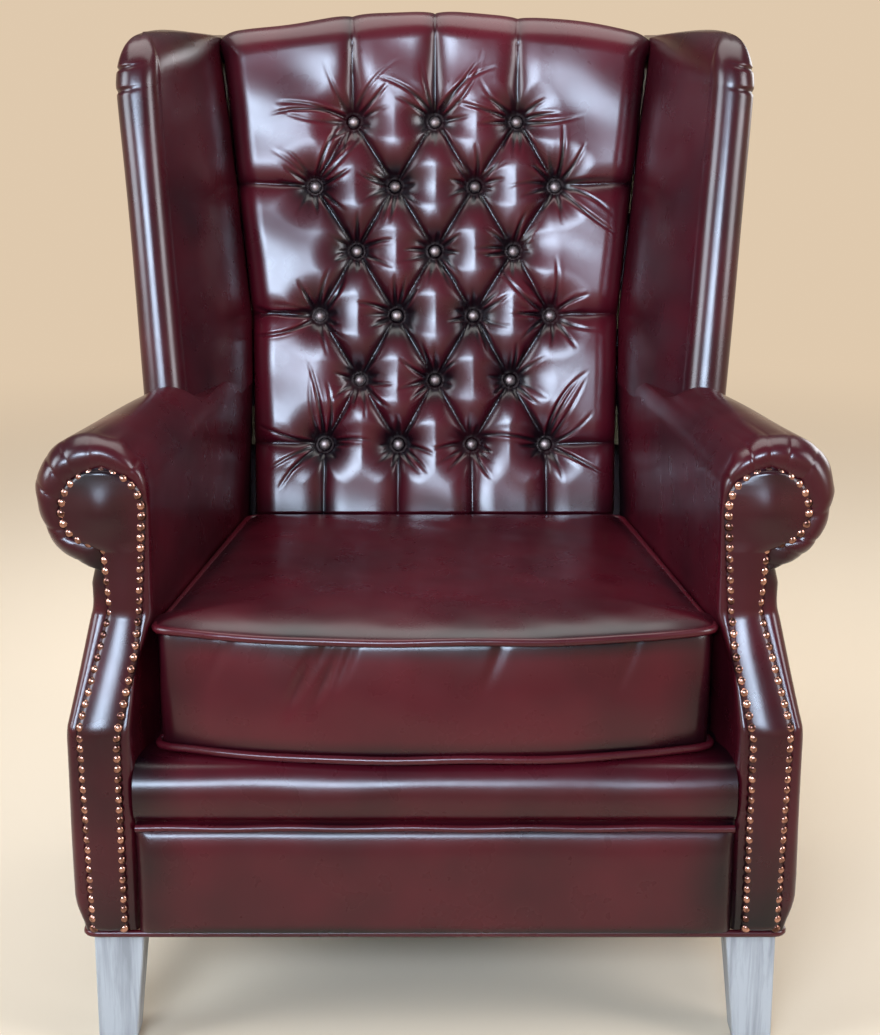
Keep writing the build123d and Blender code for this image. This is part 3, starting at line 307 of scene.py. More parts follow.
def pleat(u, w, start, end, deep_start, deep_end, width=0.034):
    """Depth below the stuffing of a fold from one place to another."""
    along = np.array(end) - np.array(start)
    t = np.clip(((u - start[0]) * along[0] + (w - start[1]) * along[1]) / (along @ along), 0, 1)
    away = np.hypot(u - start[0] - t * along[0], w - start[1] - t * along[1])
    mid = 1 - 0.35 * np.sin(math.pi * t)
    deep = (deep_start + (deep_end - deep_start) * t) * mid
    return deep * (1 - np.sqrt(1 - (1 - np.minimum(away / width, 1)) ** 2))


def tufting(u, w):
    """How far the hide is drawn in below the tops of the pillows, and the small folds' part."""
    deep, thin, round_half = 0.019, 0.03, 0.0078
    drops = []
    for row in range(5):
        upper = [b for b in buttons if b[1] == rows[row + 1]]
        lower = [b for b in buttons if b[1] == rows[row]]
        for near in lower:
            for next_up in upper:
                if abs(near[0] - next_up[0]) < 0.08:
                    drops.append(pleat(u, w, near, next_up, deep, deep))
    for x, z in buttons:
        if z == rows[5]:
            drops.append(pleat(u, w, (x, z), (x * 1.02, crest + 0.07), deep, 0.006, thin))
        if z == rows[0]:
            drops.append(pleat(u, w, (x, z), (x * 1.01, -0.06), 0.018, 0.014, thin))
    for row in (0, 2, 4):
        outer = max(b[0] for b in buttons if b[1] == rows[row])
        for side in (-1, 1):
            edge = (side * 0.29, rows[row] + 0.004)
            drops.append(pleat(u, w, (side * outer, rows[row]), edge, 0.018, 0.011, thin))
    for x, z in buttons:
        rim = np.clip(np.hypot(u - x, w - z) - round_half, 0, None)
        drops.append(tuft * (1 - np.sqrt(1 - (1 - np.minimum(rim / 0.052, 1)) ** 2)) ** 0.95)
    drop = sum(d ** 4 for d in drops) ** 0.25
    fold = np.zeros_like(u)
    for b, (x, z) in enumerate(buttons):
        near = np.hypot(u - x, w - z) < 0.12
        away = np.hypot(u - x, w - z)[near]
        turn = np.arctan2(w[near] - z, u[near] - x)
        outer = abs(x) > 0.12 or z > rows[4]
        rays = np.zeros_like(turn)
        for k in range(13):
            at = 2.4 * k + 1.7 * b + 0.3 * math.sin(5.1 * k + b)
            free = math.sin(at) > 0.2 or x * math.cos(at) > 0.08
            gap = np.angle(np.exp(1j * (turn - at + 0.25 * math.sin(k) * away / 0.05))) * away
            stretch = 2.2 if outer and free else 1.1
            reach = (0.034 + 0.014 * math.sin(2.3 * k + 4.1 * b)) * stretch
            sharp = np.exp(-((gap / 0.0021) ** 2)) - 0.35 * np.exp(-((gap / 0.0052) ** 2))
            high = 0.65 + 0.35 * math.cos(3.3 * k + b)
            rays += sharp * np.clip(1 - away / reach, 0, 1) ** 0.8 * high
        fold[near] += rays * 0.0058 * np.clip((away - 0.006) / 0.012, 0, 1)
    return np.minimum(drop, tuft) + fold * (drop < tuft), fold


def up_the_back(b):
    """Place up the slope from the seat, from the edge tucked in below to the one behind."""
    return -tucked + b * (tucked + crest + over_top)


def back_shade_and_wear(a, b):
    """Worn red on the crowns of the pillows; dark in their pleats and round the buttons, partly
    from the finish and partly as painted shade, with painted shade towards the seat and at the
    sides.
    """
    s = up_the_back(b)
    t = (2 * a - 1) * (field_half(np.clip(s, 0, shoulder)) + 0.052)
    drop, fold = tufting(t, s)
    # Painted shade: darker towards the seat, where the back runs under the cushion, and at the
    # sides beside the wings.
    seat_shade = np.clip(s / 0.03, 0, 1)
    side = np.clip((0.262 - np.abs(t)) / 0.03, 0, 1)
    crown = np.clip(1.06 - drop / 0.0105 - fold / 0.0024, 0, 1)
    return crown * (0.4 + 0.6 * seat_shade) * (0.35 + 0.65 * side)


def back_hide(a, b):
    """The whole hide of the back, from under the cushion up the slope and over the top rail."""
    s = up_the_back(b)
    roll, rear_roll, deep = 0.042, 0.03, 0.1565
    side_roll, side_wall, crown_half = 0.030, 0.035, 0.2825
    quarter = math.pi / 2
    half = field_half(np.clip(s, 0, shoulder))
    at_crown = np.clip((s - shoulder + 0.03) / 0.07, 0, 1)
    half = np.where(s > shoulder - 0.03, half + (crown_half - half) * at_crown, half)
    flat = half - side_roll
    t = (2 * a - 1) * (flat + side_roll * quarter + side_wall)
    turn = np.clip((np.abs(t) - flat) / side_roll, 0, quarter)
    u = np.where(np.abs(t) < flat, t, np.sign(t) * (flat + side_roll * np.sin(turn)))
    fall = side_roll * (1 - np.cos(turn)) + np.clip(np.abs(t) - flat - side_roll * quarter, 0, None)
    rise = crest - 0.032 * (u / 0.284) ** 2 - roll
    top_run = deep - roll - rear_roll
    over = np.clip((s - rise) / roll, 0, quarter)
    back = np.clip(s - rise - roll * quarter, 0, top_run)
    down = np.clip((s - rise - roll * quarter - top_run) / rear_roll, 0, quarter)
    drop_down = np.clip(s - rise - (roll + rear_roll) * quarter - top_run, 0, None)
    w = np.minimum(s, rise) + roll * np.sin(over) - rear_roll * (1 - np.cos(down)) - drop_down
    h = -roll * (1 - np.cos(over)) - back - rear_roll * np.sin(down)
    swell = 0.0025 * ripple(u * 14, w * 14, h * 9)
    cut = tufting(u, s)[0] * np.clip(1 - (s - rise) / 0.11, 0, 1) - swell
    past = np.clip(1 - (np.abs(t) - half) / 0.04, 0, 1)
    cut = np.where(np.abs(t) < half, cut, cut * past)
    lean = over + down
    h_out = h - (cut + fall) * np.cos(lean)
    w_out = w - (cut + fall * np.sin(lean) * 0.55) * np.sin(lean)
    y = seat_y + w_out * math.sin(tilt) - h_out * math.cos(tilt)
    z = seat_top + w_out * math.cos(tilt) + h_out * math.sin(tilt)
    y = np.where(s < 0, np.maximum(seat_y + 0.004 + cut * 0.8 + fall, y), y)
    return np.stack([u, y, z], 1)


back = skin("back_hide", 330, 540, back_hide, rub=back_shade_and_wear)
dress(back, oxblood, "leather_oxblood", "chair", "back_pad")

# Arms: hide over stuffing on a board and a rail, rolled outwards into a scroll that grows towards
# the front. The hide turns over the front edge in small pleats and is tacked under the facing.
scroll_share, under_share, turn_share = 0.45, 0.8, 0.62
front_half, rear_half, body_deep = 0.385, 0.302, 0.6392
arm_thick, arm_top, hem = 0.083, 0.665, 0.137
scroll_long, slim_out = 0.31, 0.3447
bend_low, bend_tall, bend_back = 0.365, 0.113, 0.048


def arm_outer(d):
    """Half width over the outside arms, d behind the front."""
    return front_half - (front_half - rear_half) * np.minimum(d, body_deep) / body_deep


def bend(z):
    """How far the arm front is set back at a height."""
    return bend_back * np.clip((z - bend_low) / bend_tall, 0, 1)


def raked(z, d):
    """How far back the rear is at a height, when it is d at the seat frame."""
    return d + np.clip(z - rake_from, 0, None) * math.tan(rake)


def arm_cut(s, outer, radius, under, crease):
    """The arm cut across, s from the foot of its inner face over the scroll to the crease."""
    cx, cz = outer - arm_thick + radius, arm_top - radius
    rise = hem + (cz - hem) * np.clip(s / scroll_share, 0, 1)
    turn = math.pi * np.clip((s - scroll_share) / (under_share - scroll_share), 0, 1)
    t = np.clip((s - under_share) / (1 - under_share), 0, 1)
    pull = 2 * np.array(under) - (np.array([cx + radius, cz]) + np.array(crease)) / 2
    x = (1 - t) ** 2 * (cx + radius) + 2 * t * (1 - t) * pull[0] + t**2 * crease[0]
    z = (1 - t) ** 2 * cz + 2 * t * (1 - t) * pull[1] + t**2 * crease[1]
    over = np.where(s < under_share, cz + radius * np.sin(turn), z)
    x = np.where(s < under_share, cx - radius * np.cos(turn), x)
    return x, np.where(s < scroll_share, rise, over)


def arm_section(s, d):
    """Point of the arm's outline d behind the front, where the scroll has shrunk by its taper."""
    taper = np.clip(1 - d / scroll_long, 0, 1)
    wide = arm_cut(s, front_half, 0.0665, (0.4130, 0.5359), (0.361, 0.514))
    slim = arm_cut(s, slim_out, 0.0415, (slim_out, 0.5918), (slim_out, 0.560))
    narrower = np.clip(slim_out - arm_outer(d), 0, None)
    x = taper * wide[0] + (1 - taper) * slim[0] - narrower
    return x, taper * wide[1] + (1 - taper) * slim[1]


def nail_place(s):
    """Where the row of nails runs, matched to the arm's outline."""
    shares = [0, 0.205, 0.287, 0.432, 0.50, 0.60, 0.71, 0.80, 0.88, 0.95, 1]
    places = [
        (0.3310, 0.1412), (0.3310, 0.3551), (0.3130, 0.4401), (0.3021, 0.5879), (0.3140, 0.6170),
        (0.3431, 0.6291), (0.3722, 0.6170), (0.3841, 0.5879), (0.3722, 0.5605), (0.3423, 0.5541),
        (0.3395, 0.520),
    ]
    xs, zs = zip(*places)
    return np.interp(s, shares, xs), np.interp(s, shares, zs)


def outward(s, d):
    """Unit direction out of the arm's outline."""
    ahead = arm_section(np.clip(s + 0.004, 0, 1), d)
    behind = arm_section(np.clip(s - 0.004, 0, 1), d)
    run, rise = ahead[0] - behind[0], ahead[1] - behind[1]
    size = np.hypot(run, rise) + 1e-9
    return -rise / size, run / size


def front_roll(b, x, z, nail_x, nail_z, soft):
    """Takes the hide from the arm's outline round its front edge and across to the row of nails.

    b reaches the front edge at turn_share, and the nails at 1."""
    reach = np.hypot(x - nail_x, z - nail_z)
    edge = np.minimum(soft, 0.85 * reach)
    turn = np.clip((b - turn_share) / (1 - turn_share), 0, 1) * math.pi
    across = (1 - np.cos(turn)) / 2
    x, z = x + (nail_x - x) * across, z + (nail_z - z) * across
    fall = np.where(turn < math.pi / 2, edge, 0.0045)
    y = front_y + bend(z) + 0.003 + fall * (1 - np.sin(turn))
    return x, y - 0.006 * np.sin(turn) * np.clip((reach - 0.008) / 0.028, 0, 1), z


def mouth(d, z):
    """How much wider the seat is at its front, below the fold of the arm, than behind."""
    return 0.014 * np.clip((0.115 - d) / 0.07, 0, 1) * np.clip((0.478 - z) / 0.05, 0, 1)


def arm_hide(side):
    """Lays the hide of one arm, a from the inner hem over the scroll to the crease, b forwards."""

    def lay(a, b):
        run = np.clip(b / turn_share, 0, 1)
        z0 = arm_section(a, np.full_like(a, 0.1))[1]
        soft = 0.012 + 0.010 * np.clip((a - 0.42) / 0.08, 0, 1)
        d_front = bend(z0) + 0.004 + soft
        face_end = seat_deep + np.clip(z0 - seat_top, 0, None) * math.tan(tilt) + 0.028
        rear_end = raked(arm_section(a, np.full_like(a, 0.6))[1], 0.6340)
        d_rear = face_end + (rear_end - face_end) * np.clip((a - 0.5) / 0.1, 0, 1)
        d = d_rear + (d_front - d_rear) * run
        x, z = arm_section(a, d)
        nx, nz = outward(a, d)
        x = x + mouth(d, z) * (a < scroll_share)
        z = z - np.clip((d - 0.306) / 0.03, 0, 1) * np.clip(z - 0.646, 0, None)
        foot = np.where(d > 0.03, 0.262, hem)
        z = np.where((a < scroll_share) & (run < 0.97), np.maximum(z, foot), z)
        swell = 0.0018 * ripple(x * 11, d * 9 + 3 * side, z * 8)
        near_front = np.clip(1 - (d - d_front) / 0.16, 0, 1)
        pull = np.sin(a * 71 + 2 * side + 2.5 * np.sin(a * 23)) * near_front**3 * 0.0009
        on_scroll = np.clip((a - 0.4) / 0.1, 0, 1)
        lift = swell * np.clip((0.5 - d) / 0.1, 0, 1) * 0.7 + pull * on_scroll
        px, py, pz = front_roll(b, x, z, *nail_place(a), soft)
        pleats = np.abs(np.sin(a * 47 + 1.3 * np.sin(a * 19 + side))) ** 0.22
        gather = np.clip((b - 0.55) / 0.15, 0, 1) * np.clip((1 - b) / 0.12, 0.25, 1)
        gather = gather * (1 - pleats) * 0.0030 * on_scroll
        turn = np.clip((b - turn_share) / (1 - turn_share), 0, 1) * math.pi / 2
        hold = lift * (1 - np.clip((b - turn_share) / 0.1, 0, 1)) - gather * np.cos(turn)
        crease = np.clip((a - 0.985) / 0.015, 0, 1)
        x = px + nx * hold - 0.004 * crease
        y = np.where(run < 1, front_y + d, py) + gather * np.sin(turn)
        return np.stack([side * x, y, pz + nz * hold], 1)

    return lay


for side, hand in ((1, "right"), (-1, "left")):
    arm = skin(f"{hand}_arm_hide", 260, 150, arm_hide(side), wear_and_shade_level=0.6)
    dress(arm, oxblood, "leather_oxblood", "chair", f"{hand}_arm_pad")


# Outside arms: hide drawn flat over a board from the crease under the scroll to the base welt,
# and brought round the front edge to the row of nails.
def outside_section(s, d):
    """Outer side of the arm, s from the crease under the scroll down to the hem."""
    taper = np.clip(1 - d / scroll_long, 0, 1)
    shares = [0, 0.07, 0.42, 0.92, 1]
    neck = np.interp(s, shares, [0.024, 0.024, 0, 0, 0.0115])
    low = np.interp(s, shares, [0.514, 0.489, 0.361, 0.168, hem])
    high = np.interp(s, shares, [0.560, 0.489, 0.361, 0.168, hem])
    return arm_outer(d) - neck * taper, taper * low + (1 - taper) * high


def outside_hide(side):
    """Lays the hide of one outside arm, a from the crease down to the hem, b forwards."""

    def lay(a, b):
        run = np.clip(b / turn_share, 0, 1)
        d_front = bend(outside_section(a, np.full_like(a, 0.05))[1]) + 0.014
        d_rear = raked(outside_section(a, np.full_like(a, 0.6))[1], 0.6352)
        d = d_rear + (d_front - d_rear) * run
        near = [outside_section(np.clip(a + k, 0, 1), d) for k in (-0.02, 0, 0.02)]
        x, z = sum(x for x, z in near) / 3, sum(z for x, z in near) / 3
        z = np.where(a > 0.97, outside_section(a, d)[1], z)
        nail_x = np.interp(z, [0.141, 0.368, 0.480, 0.522], [0.3622, 0.3671, 0.3373, 0.3395])
        above_hem = np.clip((z - 0.15) / 0.05, 0, 1)
        swell = 0.0012 * ripple(x * 9, d * 7 + side, z * 7) * above_hem
        kink = np.exp(-(((z - 0.485) / 0.012) ** 2)) * np.clip(1 - d / 0.2, 0, 1) * 0.0015
        px, py, pz = front_roll(b, x, z, nail_x, z, 0.010)
        y = np.where(run < 1, front_y + d, py)
        under = np.clip(1 - a / 0.03, 0, 1)
        px = px + (swell - kink) * np.clip(1 - (b - turn_share) / 0.1, 0, 1) - 0.006 * under
        return np.stack([side * px, y, pz + 0.012 * under], 1)

    return lay


for side, hand in ((1, "right"), (-1, "left")):
    outside = skin(f"{hand}_outside_arm_hide", 130, 90, outside_hide(side))
    dress(outside, oxblood, "leather_oxblood", "chair", f"{hand}_outside_arm")


# Wings: hide over a shaped board, stuffed to a full roll along the front edge, closed over the
# top with two small folds at the outer corner, and standing on the arm.
def wing_hide(side):
    """Lays the hide of one wing, a from its rear round the front edge and back, b upwards."""
    foot, eaves, crown_tall, roll_thick = 0.622, 1.000, 0.058, 0.050
    nose_start, nose_end, inside_end, tuck_end = 0.42, 0.56, 0.96, 0.994

    def lay(a, b):
        straight = np.clip(b / 0.7, 0, 1)
        crown = np.clip((b - 0.7) / 0.22, 0, 1) * math.pi / 2
        cap = np.clip((b - 0.92) / 0.08, 0, 1)
        z = foot + (eaves - foot) * straight + crown_tall * np.sin(crown)
        lean = np.minimum(z, eaves)
        drawn = 0.0235 * (1 - np.cos(crown))
        back_set = 0.061 * (1 - np.cos(crown)) ** 1.3
        outer = 0.336 + 0.032 * (lean - 0.645) / 0.355 - drawn
        inner = outer - roll_thick + 2 * drawn
        radius = (outer - inner) / 2
        nose = front_y + 0.310 + (z - 0.645) * math.tan(tilt) + back_set + radius
        w = (z - seat_top + tuft * math.sin(tilt)) / math.cos(tilt)
        knee_x = field_half(np.clip(w, 0, shoulder)) + 0.001
        knee_y = seat_y + (z - seat_top) * math.tan(tilt) + (tuft - 0.004) / math.cos(tilt)
        rear_x = rear_half - 0.5 * drawn
        rear_y = front_y + raked(z, 0.6332) - 0.5 * back_set
        outside = np.clip(a / nose_start, 0, 1)
        round_nose = np.clip((a - nose_start) / (nose_end - nose_start), 0, 1) * math.pi
        inside = np.clip((a - nose_end) / (inside_end - nose_end), 0, 1)
        tuck = np.clip((a - inside_end) / (tuck_end - inside_end), 0, 1)
        closing = np.clip((a - tuck_end) / (1 - tuck_end), 0, 1)
        x = rear_x + (outer - rear_x) * outside
        y = rear_y + (nose - rear_y) * outside
        x = np.where(a > nose_start, outer - radius + radius * np.cos(round_nose), x)
        y = np.where(a > nose_start, nose - radius * np.sin(round_nose), y)
        x = np.where(a > nose_end, inner + (knee_x - inner) * inside, x)
        y = np.where(a > nose_end, nose + (knee_y - nose) * inside, y)
        swell_in = np.where(a > nose_end, 0.010 * np.sin(math.pi * inside) ** 0.8, 0)
        swell_out = np.where(a < nose_start, 0.005 * np.sin(math.pi * outside), 0)
        x = x - swell_in + swell_out
        x = x + (0.284 - 0.5 * drawn - x) * tuck
        y = y + (rear_y - 0.003 - y) * tuck
        x = x + (rear_x - x) * closing
        y = y + (rear_y - y) * closing
        wave = 0.0016 * ripple(x * 10 + side, y * 9, z * 6) * (1 - cap)
        x = x + wave * np.where(a < 0.5, 1, -1) * np.clip(np.minimum(a, 1 - a) / 0.05, 0, 1)
        corner = np.exp(-(((a - 0.44) / 0.05) ** 2))
        level = z - 0.10 * (a - 0.44)
        folds = sum(np.exp(-(((level - at) / 0.0018) ** 2)) for at in (0.992, 1.018))
        x = x - folds * corner * 0.0028
        y = y + folds * corner * 0.0028
        spine = np.where(a < 0.49, outside, 1 - np.clip((a - 0.49) / 0.47, 0, 1))
        rear_mid, rear_deep = (rear_x + knee_x) / 2, (rear_y + knee_y) / 2
        ridge_x = rear_mid + ((outer + inner) / 2 - rear_mid) * spine
        ridge_y = rear_deep + (nose - rear_deep) * spine
        x = x + (ridge_x - x) * cap
        y = y + (ridge_y - y) * cap
        high = np.clip((z - 0.93) / 0.128, 0, 1)
        z = z - (0.017 * (1 - spine) ** 1.4 + 0.006 * spine**5) * high
        return np.stack([side * x, y, z], 1)

    return lay


for side, hand in ((1, "right"), (-1, "left")):
    # The wings get a low level: painted shade that makes the whole wing darker.
    wing = skin(f"{hand}_wing_hide", 200, 210, wing_hide(side), loop=True, wear_and_shade_level=0.45)
    dress(wing, oxblood, "leather_oxblood", "chair", f"{hand}_wing_pad")


# Loose cushion: a boxed hide case round a foam block, crowned on top, bowed in front, with a
# piped edge above and below and a zip along the back border.
cushion_deep, cushion_low, cushion_high = 0.4834, 0.3325, 0.4595
bow_deep, neck_deep, cushion_gap = 0.044, 0.075, 0.0055


def softened(corners, radii):
    """A closed outline with its corners rounded, as points with their distance along it."""
    points = []
    for n, (corner, radius) in enumerate(zip(corners, radii)):
        here = np.array(corner, float)
        before = np.array(corners[n - 1], float) - here
        after = np.array(corners[(n + 1) % len(corners)], float) - here
        if radius == 0:
            points.append(here)
            continue
        start = here + before / np.linalg.norm(before) * radius
        end = here + after / np.linalg.norm(after) * radius
        for t in np.linspace(0, 1, 9):
            points.append((1 - t) ** 2 * start + 2 * t * (1 - t) * here + t**2 * end)
    points.append(points[0])
    points = np.array(points)
    steps = np.hypot(*np.diff(points, axis=0).T)
    return points, np.concatenate([[0], np.cumsum(steps)]) / steps.sum()


def on_outline(outline, t):
    """Point and outward direction at a share of the way round an outline."""
    points, shares = outline
    x = np.interp(t % 1.0, shares, points[:, 0])
    y = np.interp(t % 1.0, shares, points[:, 1])
    ahead = [np.interp((t + 0.002) % 1.0, shares, points[:, i]) for i in (0, 1)]
    behind = [np.interp((t - 0.002) % 1.0, shares, points[:, i]) for i in (0, 1)]
    run, rise = ahead[0] - behind[0], ahead[1] - behind[1]
    size = np.hypot(run, rise) + 1e-9
    return x, y, rise / size, -run / size


def cushion_half(d):
    """Half width of the cushion at its piping, which spreads in front of the arms."""
    spread = 0.013 * np.clip((0.062 - d) / 0.02, 0, 1)
    return arm_outer(d) - arm_thick - cushion_gap + spread


bow_x = np.linspace(-0.285, 0.285, 21)[2:-2]
bow_y = front_y + 0.002 + 0.040 * np.abs(bow_x / cushion_half(bow_deep)) ** 2.2
right_side = [(cushion_half(d), front_y + d) for d in (bow_deep, neck_deep, cushion_deep)]
left_side = [(-x, y) for x, y in reversed(right_side)]
cushion_edge = softened(
    [left_side[-1], *zip(bow_x, bow_y), *right_side, *left_side[:-1]],
    [0.031, *([0] * len(bow_x)), 0.031, 0.012, 0.014, 0.014, 0.012],
)


def panel(height, crown, fullness):
    """Lays a square of hide over the cushion's plan, crowned and drawn down to its piping."""
    rear_line = cushion_deep - 0.002

    def lay(a, b):
        u, v = 2 * a - 1, 2 * b - 1
        front = front_y + 0.002 + 0.042 * np.abs(u) ** 2
        y = front + (front_y + cushion_deep - front) * b
        half = cushion_half(np.maximum(0.002 + rear_line * b, bow_deep)) - 0.002
        x = u * half
        for sx in (-1, 1):
            for sy, radius in ((-1, 0.020), (1, 0.013)):
                cx = sx * (half - radius)
                line = front_y + (0.046 + radius if sy < 0 else rear_line - radius)
                over_x, over_y = sx * (x - cx), sy * (y - line)
                inside = (over_x > 0) & (over_y > 0)
                big = np.maximum(over_x, over_y)
                far = np.hypot(over_x, over_y) + 1e-9
                x = np.where(inside, cx + sx * over_x / far * big, x)
                y = np.where(inside, line + sy * over_y / far * big, y)
        near = np.clip(np.minimum(1 - np.abs(u), 1 - np.abs(v)) / 0.42, 0, 1)
        dome = (1 - (1 - near) ** 2) ** 0.62
        soft = 0.0016 * ripple(x * 9, y * 10, 2.0) + 0.0006 * ripple(x * 31, y * 26, 5.0)
        return np.stack([x, y, height + crown * dome * (1 + fullness * soft / 0.02)], 1)

    return lay


def border(a, b):
    """The boxing strip between the two pipings: drawn in at the sides, full in front."""
    x, y, nx, ny = on_outline(cushion_edge, a)
    belly = np.sin(math.pi * b)
    front = np.clip(-ny, 0, 1) ** 2
    pinches = (
        (-0.142, 0.66, 0.0060), (-0.118, 0.72, 0.0075), (-0.130, 0.88, 0.0045),
        (-0.103, 0.82, 0.0040), (0.05, 0.88, 0.0030), (0.19, 0.83, 0.0026), (-0.235, 0.85, 0.0026),
    )
    slant = x - 0.05 * (b - 0.6)
    pinch = sum(
        np.exp(-(((slant - at) / 0.0045) ** 2) - ((b - up) / 0.22) ** 2) * deep
        for at, up, deep in pinches
    )
    corner = np.clip((np.abs(x) - 0.24) / 0.05, 0, 1) * np.clip(1 - (y - front_y) / 0.07, 0, 1)
    swell = (0.0105 * front + 0.003 * corner - 0.0015) * belly**0.6
    swell = swell + front * (0.0011 * ripple(x * 16, b * 2.1, 4.0) * belly - pinch)
    inset = 0.0040 - swell
    z = cushion_low + (cushion_high - cushion_low) * b
    return np.stack([x - nx * inset, y - ny * inset, z], 1)


def border_shade_and_wear(a, b):
    """Worn in the middle of the boxing; dark along its seams, partly from the finish and partly as
    painted shade, and painted shade at its corners.
    """
    corner = np.clip((np.abs(on_outline(cushion_edge, a)[0]) - 0.235) / 0.05, 0, 1)
    return np.clip(np.minimum(b, 1 - b) / 0.16, 0.2, 1) * (1 - 0.7 * corner)


def top_shade_and_wear(a, b):
    """Evenly worn where it is sat on; darker just inside the piping, partly from the finish and
    partly as painted shade.
    """
    return 0.68 * np.clip(np.minimum(np.minimum(a, 1 - a), b) / 0.05, 0.45, 1)


def cord(route, radius):
    """Lays hide round a cord that follows route(t), t from 0 to 1."""

    def lay(a, b):
        here = route(b)
        forward = route(b + 0.0005) - here
        forward = forward / np.linalg.norm(forward, axis=1)[:, None]
        beside = np.cross(forward, np.tile([0.0, 0.0, 1.0], (len(a), 1)))
        beside = beside / np.linalg.norm(beside, axis=1)[:, None]
        above = np.cross(beside, forward)
        turn = math.tau * a
        return here + radius * (np.cos(turn)[:, None] * beside + np.sin(turn)[:, None] * above)

    return lay


def piping_route(z, wander):
    """Round the cushion's edge at a height, sagging a little in front."""

    def route(t):
        x, y, _, ny = on_outline(cushion_edge, t)
        sag = wander * (np.sin(x * 23 + 1) + 0.6 * np.sin(x * 41)) * np.clip(-ny, 0, 1)
        return np.stack([x, y, z + sag], 1)

    return route


cushion_top = skin("cushion_top_hide", 120, 110, panel(0.4600, 0.0195, 1.0), rub=top_shade_and_wear)
cushion_under = skin("cushion_under_hide", 60, 56, panel(0.3320, -0.0045, 0.0))
cushion_side = skin("cushion_border", 420, 30, border, loop=True, rub=border_shade_and_wear)
for piece, stands in (
    (cushion_top, ("cushion_cover",)), (cushion_under, ()), (cushion_side, ()),
):
    dress(piece, oxblood, "leather_oxblood", "seat_cushion", *stands)
piping_radius = 0.0044
for edge_name, z in (("top", cushion_high + 0.001), ("bottom", cushion_low - 0.001)):
    lay = cord(piping_route(z, 0.0008), piping_radius)
    piping = skin(f"cushion_{edge_name}_cord", 12, 420, lay, loop=True)
    dress(piping, oxblood, "leather_oxblood", "seat_cushion", f"cushion_{edge_name}_piping")


# Seat front: hide over a stuffed lip above the rail, a welt under it, a covered rail below and
# one welt round the foot of the whole chair.
rail_half, rail_tall, welt_radius = 0.3145, 0.118, 0.0040
lip_x, lip_z, lip_deep, lip_rise = 0.026, 0.290, 0.032, 0.0367


def lip(a, b):
    """The lip roll, a from side to side, b from under the cushion over the nose to the welt."""
    shares = [0, 0.2, 0.92, 1]
    turn = np.radians(np.interp(b, shares, [90, 90, -50, -50]))
    d = lip_x - lip_deep * np.cos(turn) + np.interp(b, shares, [0.046, 0, 0, 0.0006])
    z = lip_z + lip_rise * np.sin(turn) - np.interp(b, shares, [0, 0, 0, 0.008])
    half = arm_outer(np.maximum(d, 0)) - arm_thick - 0.0006 + mouth(d, z)
    x = (2 * a - 1) * half
    wave = 0.0012 * ripple(x * 12, b * 2, 1.0) * np.sin(math.pi * b)
    return np.stack([x, front_y + d - wave, z], 1)


def rail_cover(a, b):
    """The covered front rail between the two welts."""
    x, z = (2 * a - 1) * rail_half, hem + rail_tall * b
    upper, lower = np.clip((z - 0.221) / 0.0345, 0, 1), np.clip((0.156 - z) / 0.0195, 0, 1)
    end = np.clip((1 - np.abs(2 * a - 1)) / 0.05, 0, 1)
    belly = 0.0115 * np.sqrt(1 - upper**2) - 0.0050 * (1 - np.sqrt(1 - lower**2))
    belly = belly * np.sqrt(1 - (1 - end) ** 2)
    wave = 0.0008 * ripple(x * 13, z * 12, 3.0) * np.sin(math.pi * b)
    return np.stack([x, front_y + 0.0042 - belly - wave, z], 1)


def front_route(t):
    """Along the top of the rail, from side to side."""
    z = hem + rail_tall + 0.0008 + 0.0006 * np.sin(t * 31)
    return np.stack([rail_half * (2 * t - 1), np.full_like(t, front_y + 0.0005), z], 1)


base_right = [(0.3735, -0.392), (slim_out, -0.086), (rear_half, 0.241)]
base_edge = softened(
    [(-base_right[0][0], base_right[0][1]), *base_right, *[(-x, y) for x, y in base_right[:0:-1]]],
    [0.014, 0.014, 0.05, 0.014, 0.014, 0.05],
)


def base_route(t):
    """Round the foot of the covers, just under their hem."""
    x, y = on_outline(base_edge, t)[:2]
    return np.stack([x, y, np.full_like(x, hem - welt_radius)], 1)


for name, across, along, lay, loop, wear_and_shade_level, node in (
    ("lip_hide", 160, 56, lip, False, 0.75, "lip_roll"),
    ("front_rail_hide", 140, 30, rail_cover, False, 0.9, "front_border"),
    ("front_welt_cord", 12, 200, cord(front_route, welt_radius), True, 0.75, "front_welt"),
    ("base_welt_cord", 12, 700, cord(base_route, welt_radius), True, 0.75, "base_welt"),
):
    piece = skin(name, across, along, lay, loop, wear_and_shade_level=wear_and_shade_level)
    dress(piece, oxblood, "leather_oxblood", "chair", node)


# Outside back: one sheet of hide over a board, blind-stitched to the sides, and turned in over the
# tops of the posts under the roll of the crown.
def outside_back_hide(a, b):
    """Lays the sheet from its hem up to its top edge and forwards from there."""
    top, top_share, half, turn_in, edge_round = 1.0225, 0.95, 0.3018, 0.045, 0.0045
    z = hem + np.clip(b / top_share, 0, 1) * (top - hem)
    turned_in = turn_in * np.clip((b - top_share) / (1 - top_share), 0, 1)
    x = (2 * a - 1) * half
    edge = np.clip((1 - np.abs(2 * a - 1)) * half / 0.006, 0, 1)
    tuck = edge_round * (1 - np.sqrt(1 - (1 - edge) ** 2))
    wave = np.minimum(0.0012 * ripple(x * 6, z * 5, 7.0), 0.0006)
    y = front_y + raked(z, body_deep) - tuck - 0.0008 + wave - turned_in
    return np.stack([x, y, z], 1)


rear_hide = skin("outside_back_hide", 110, 160, outside_back_hide)
dress(rear_hide, oxblood, "leather_oxblood", "chair", "outside_back")


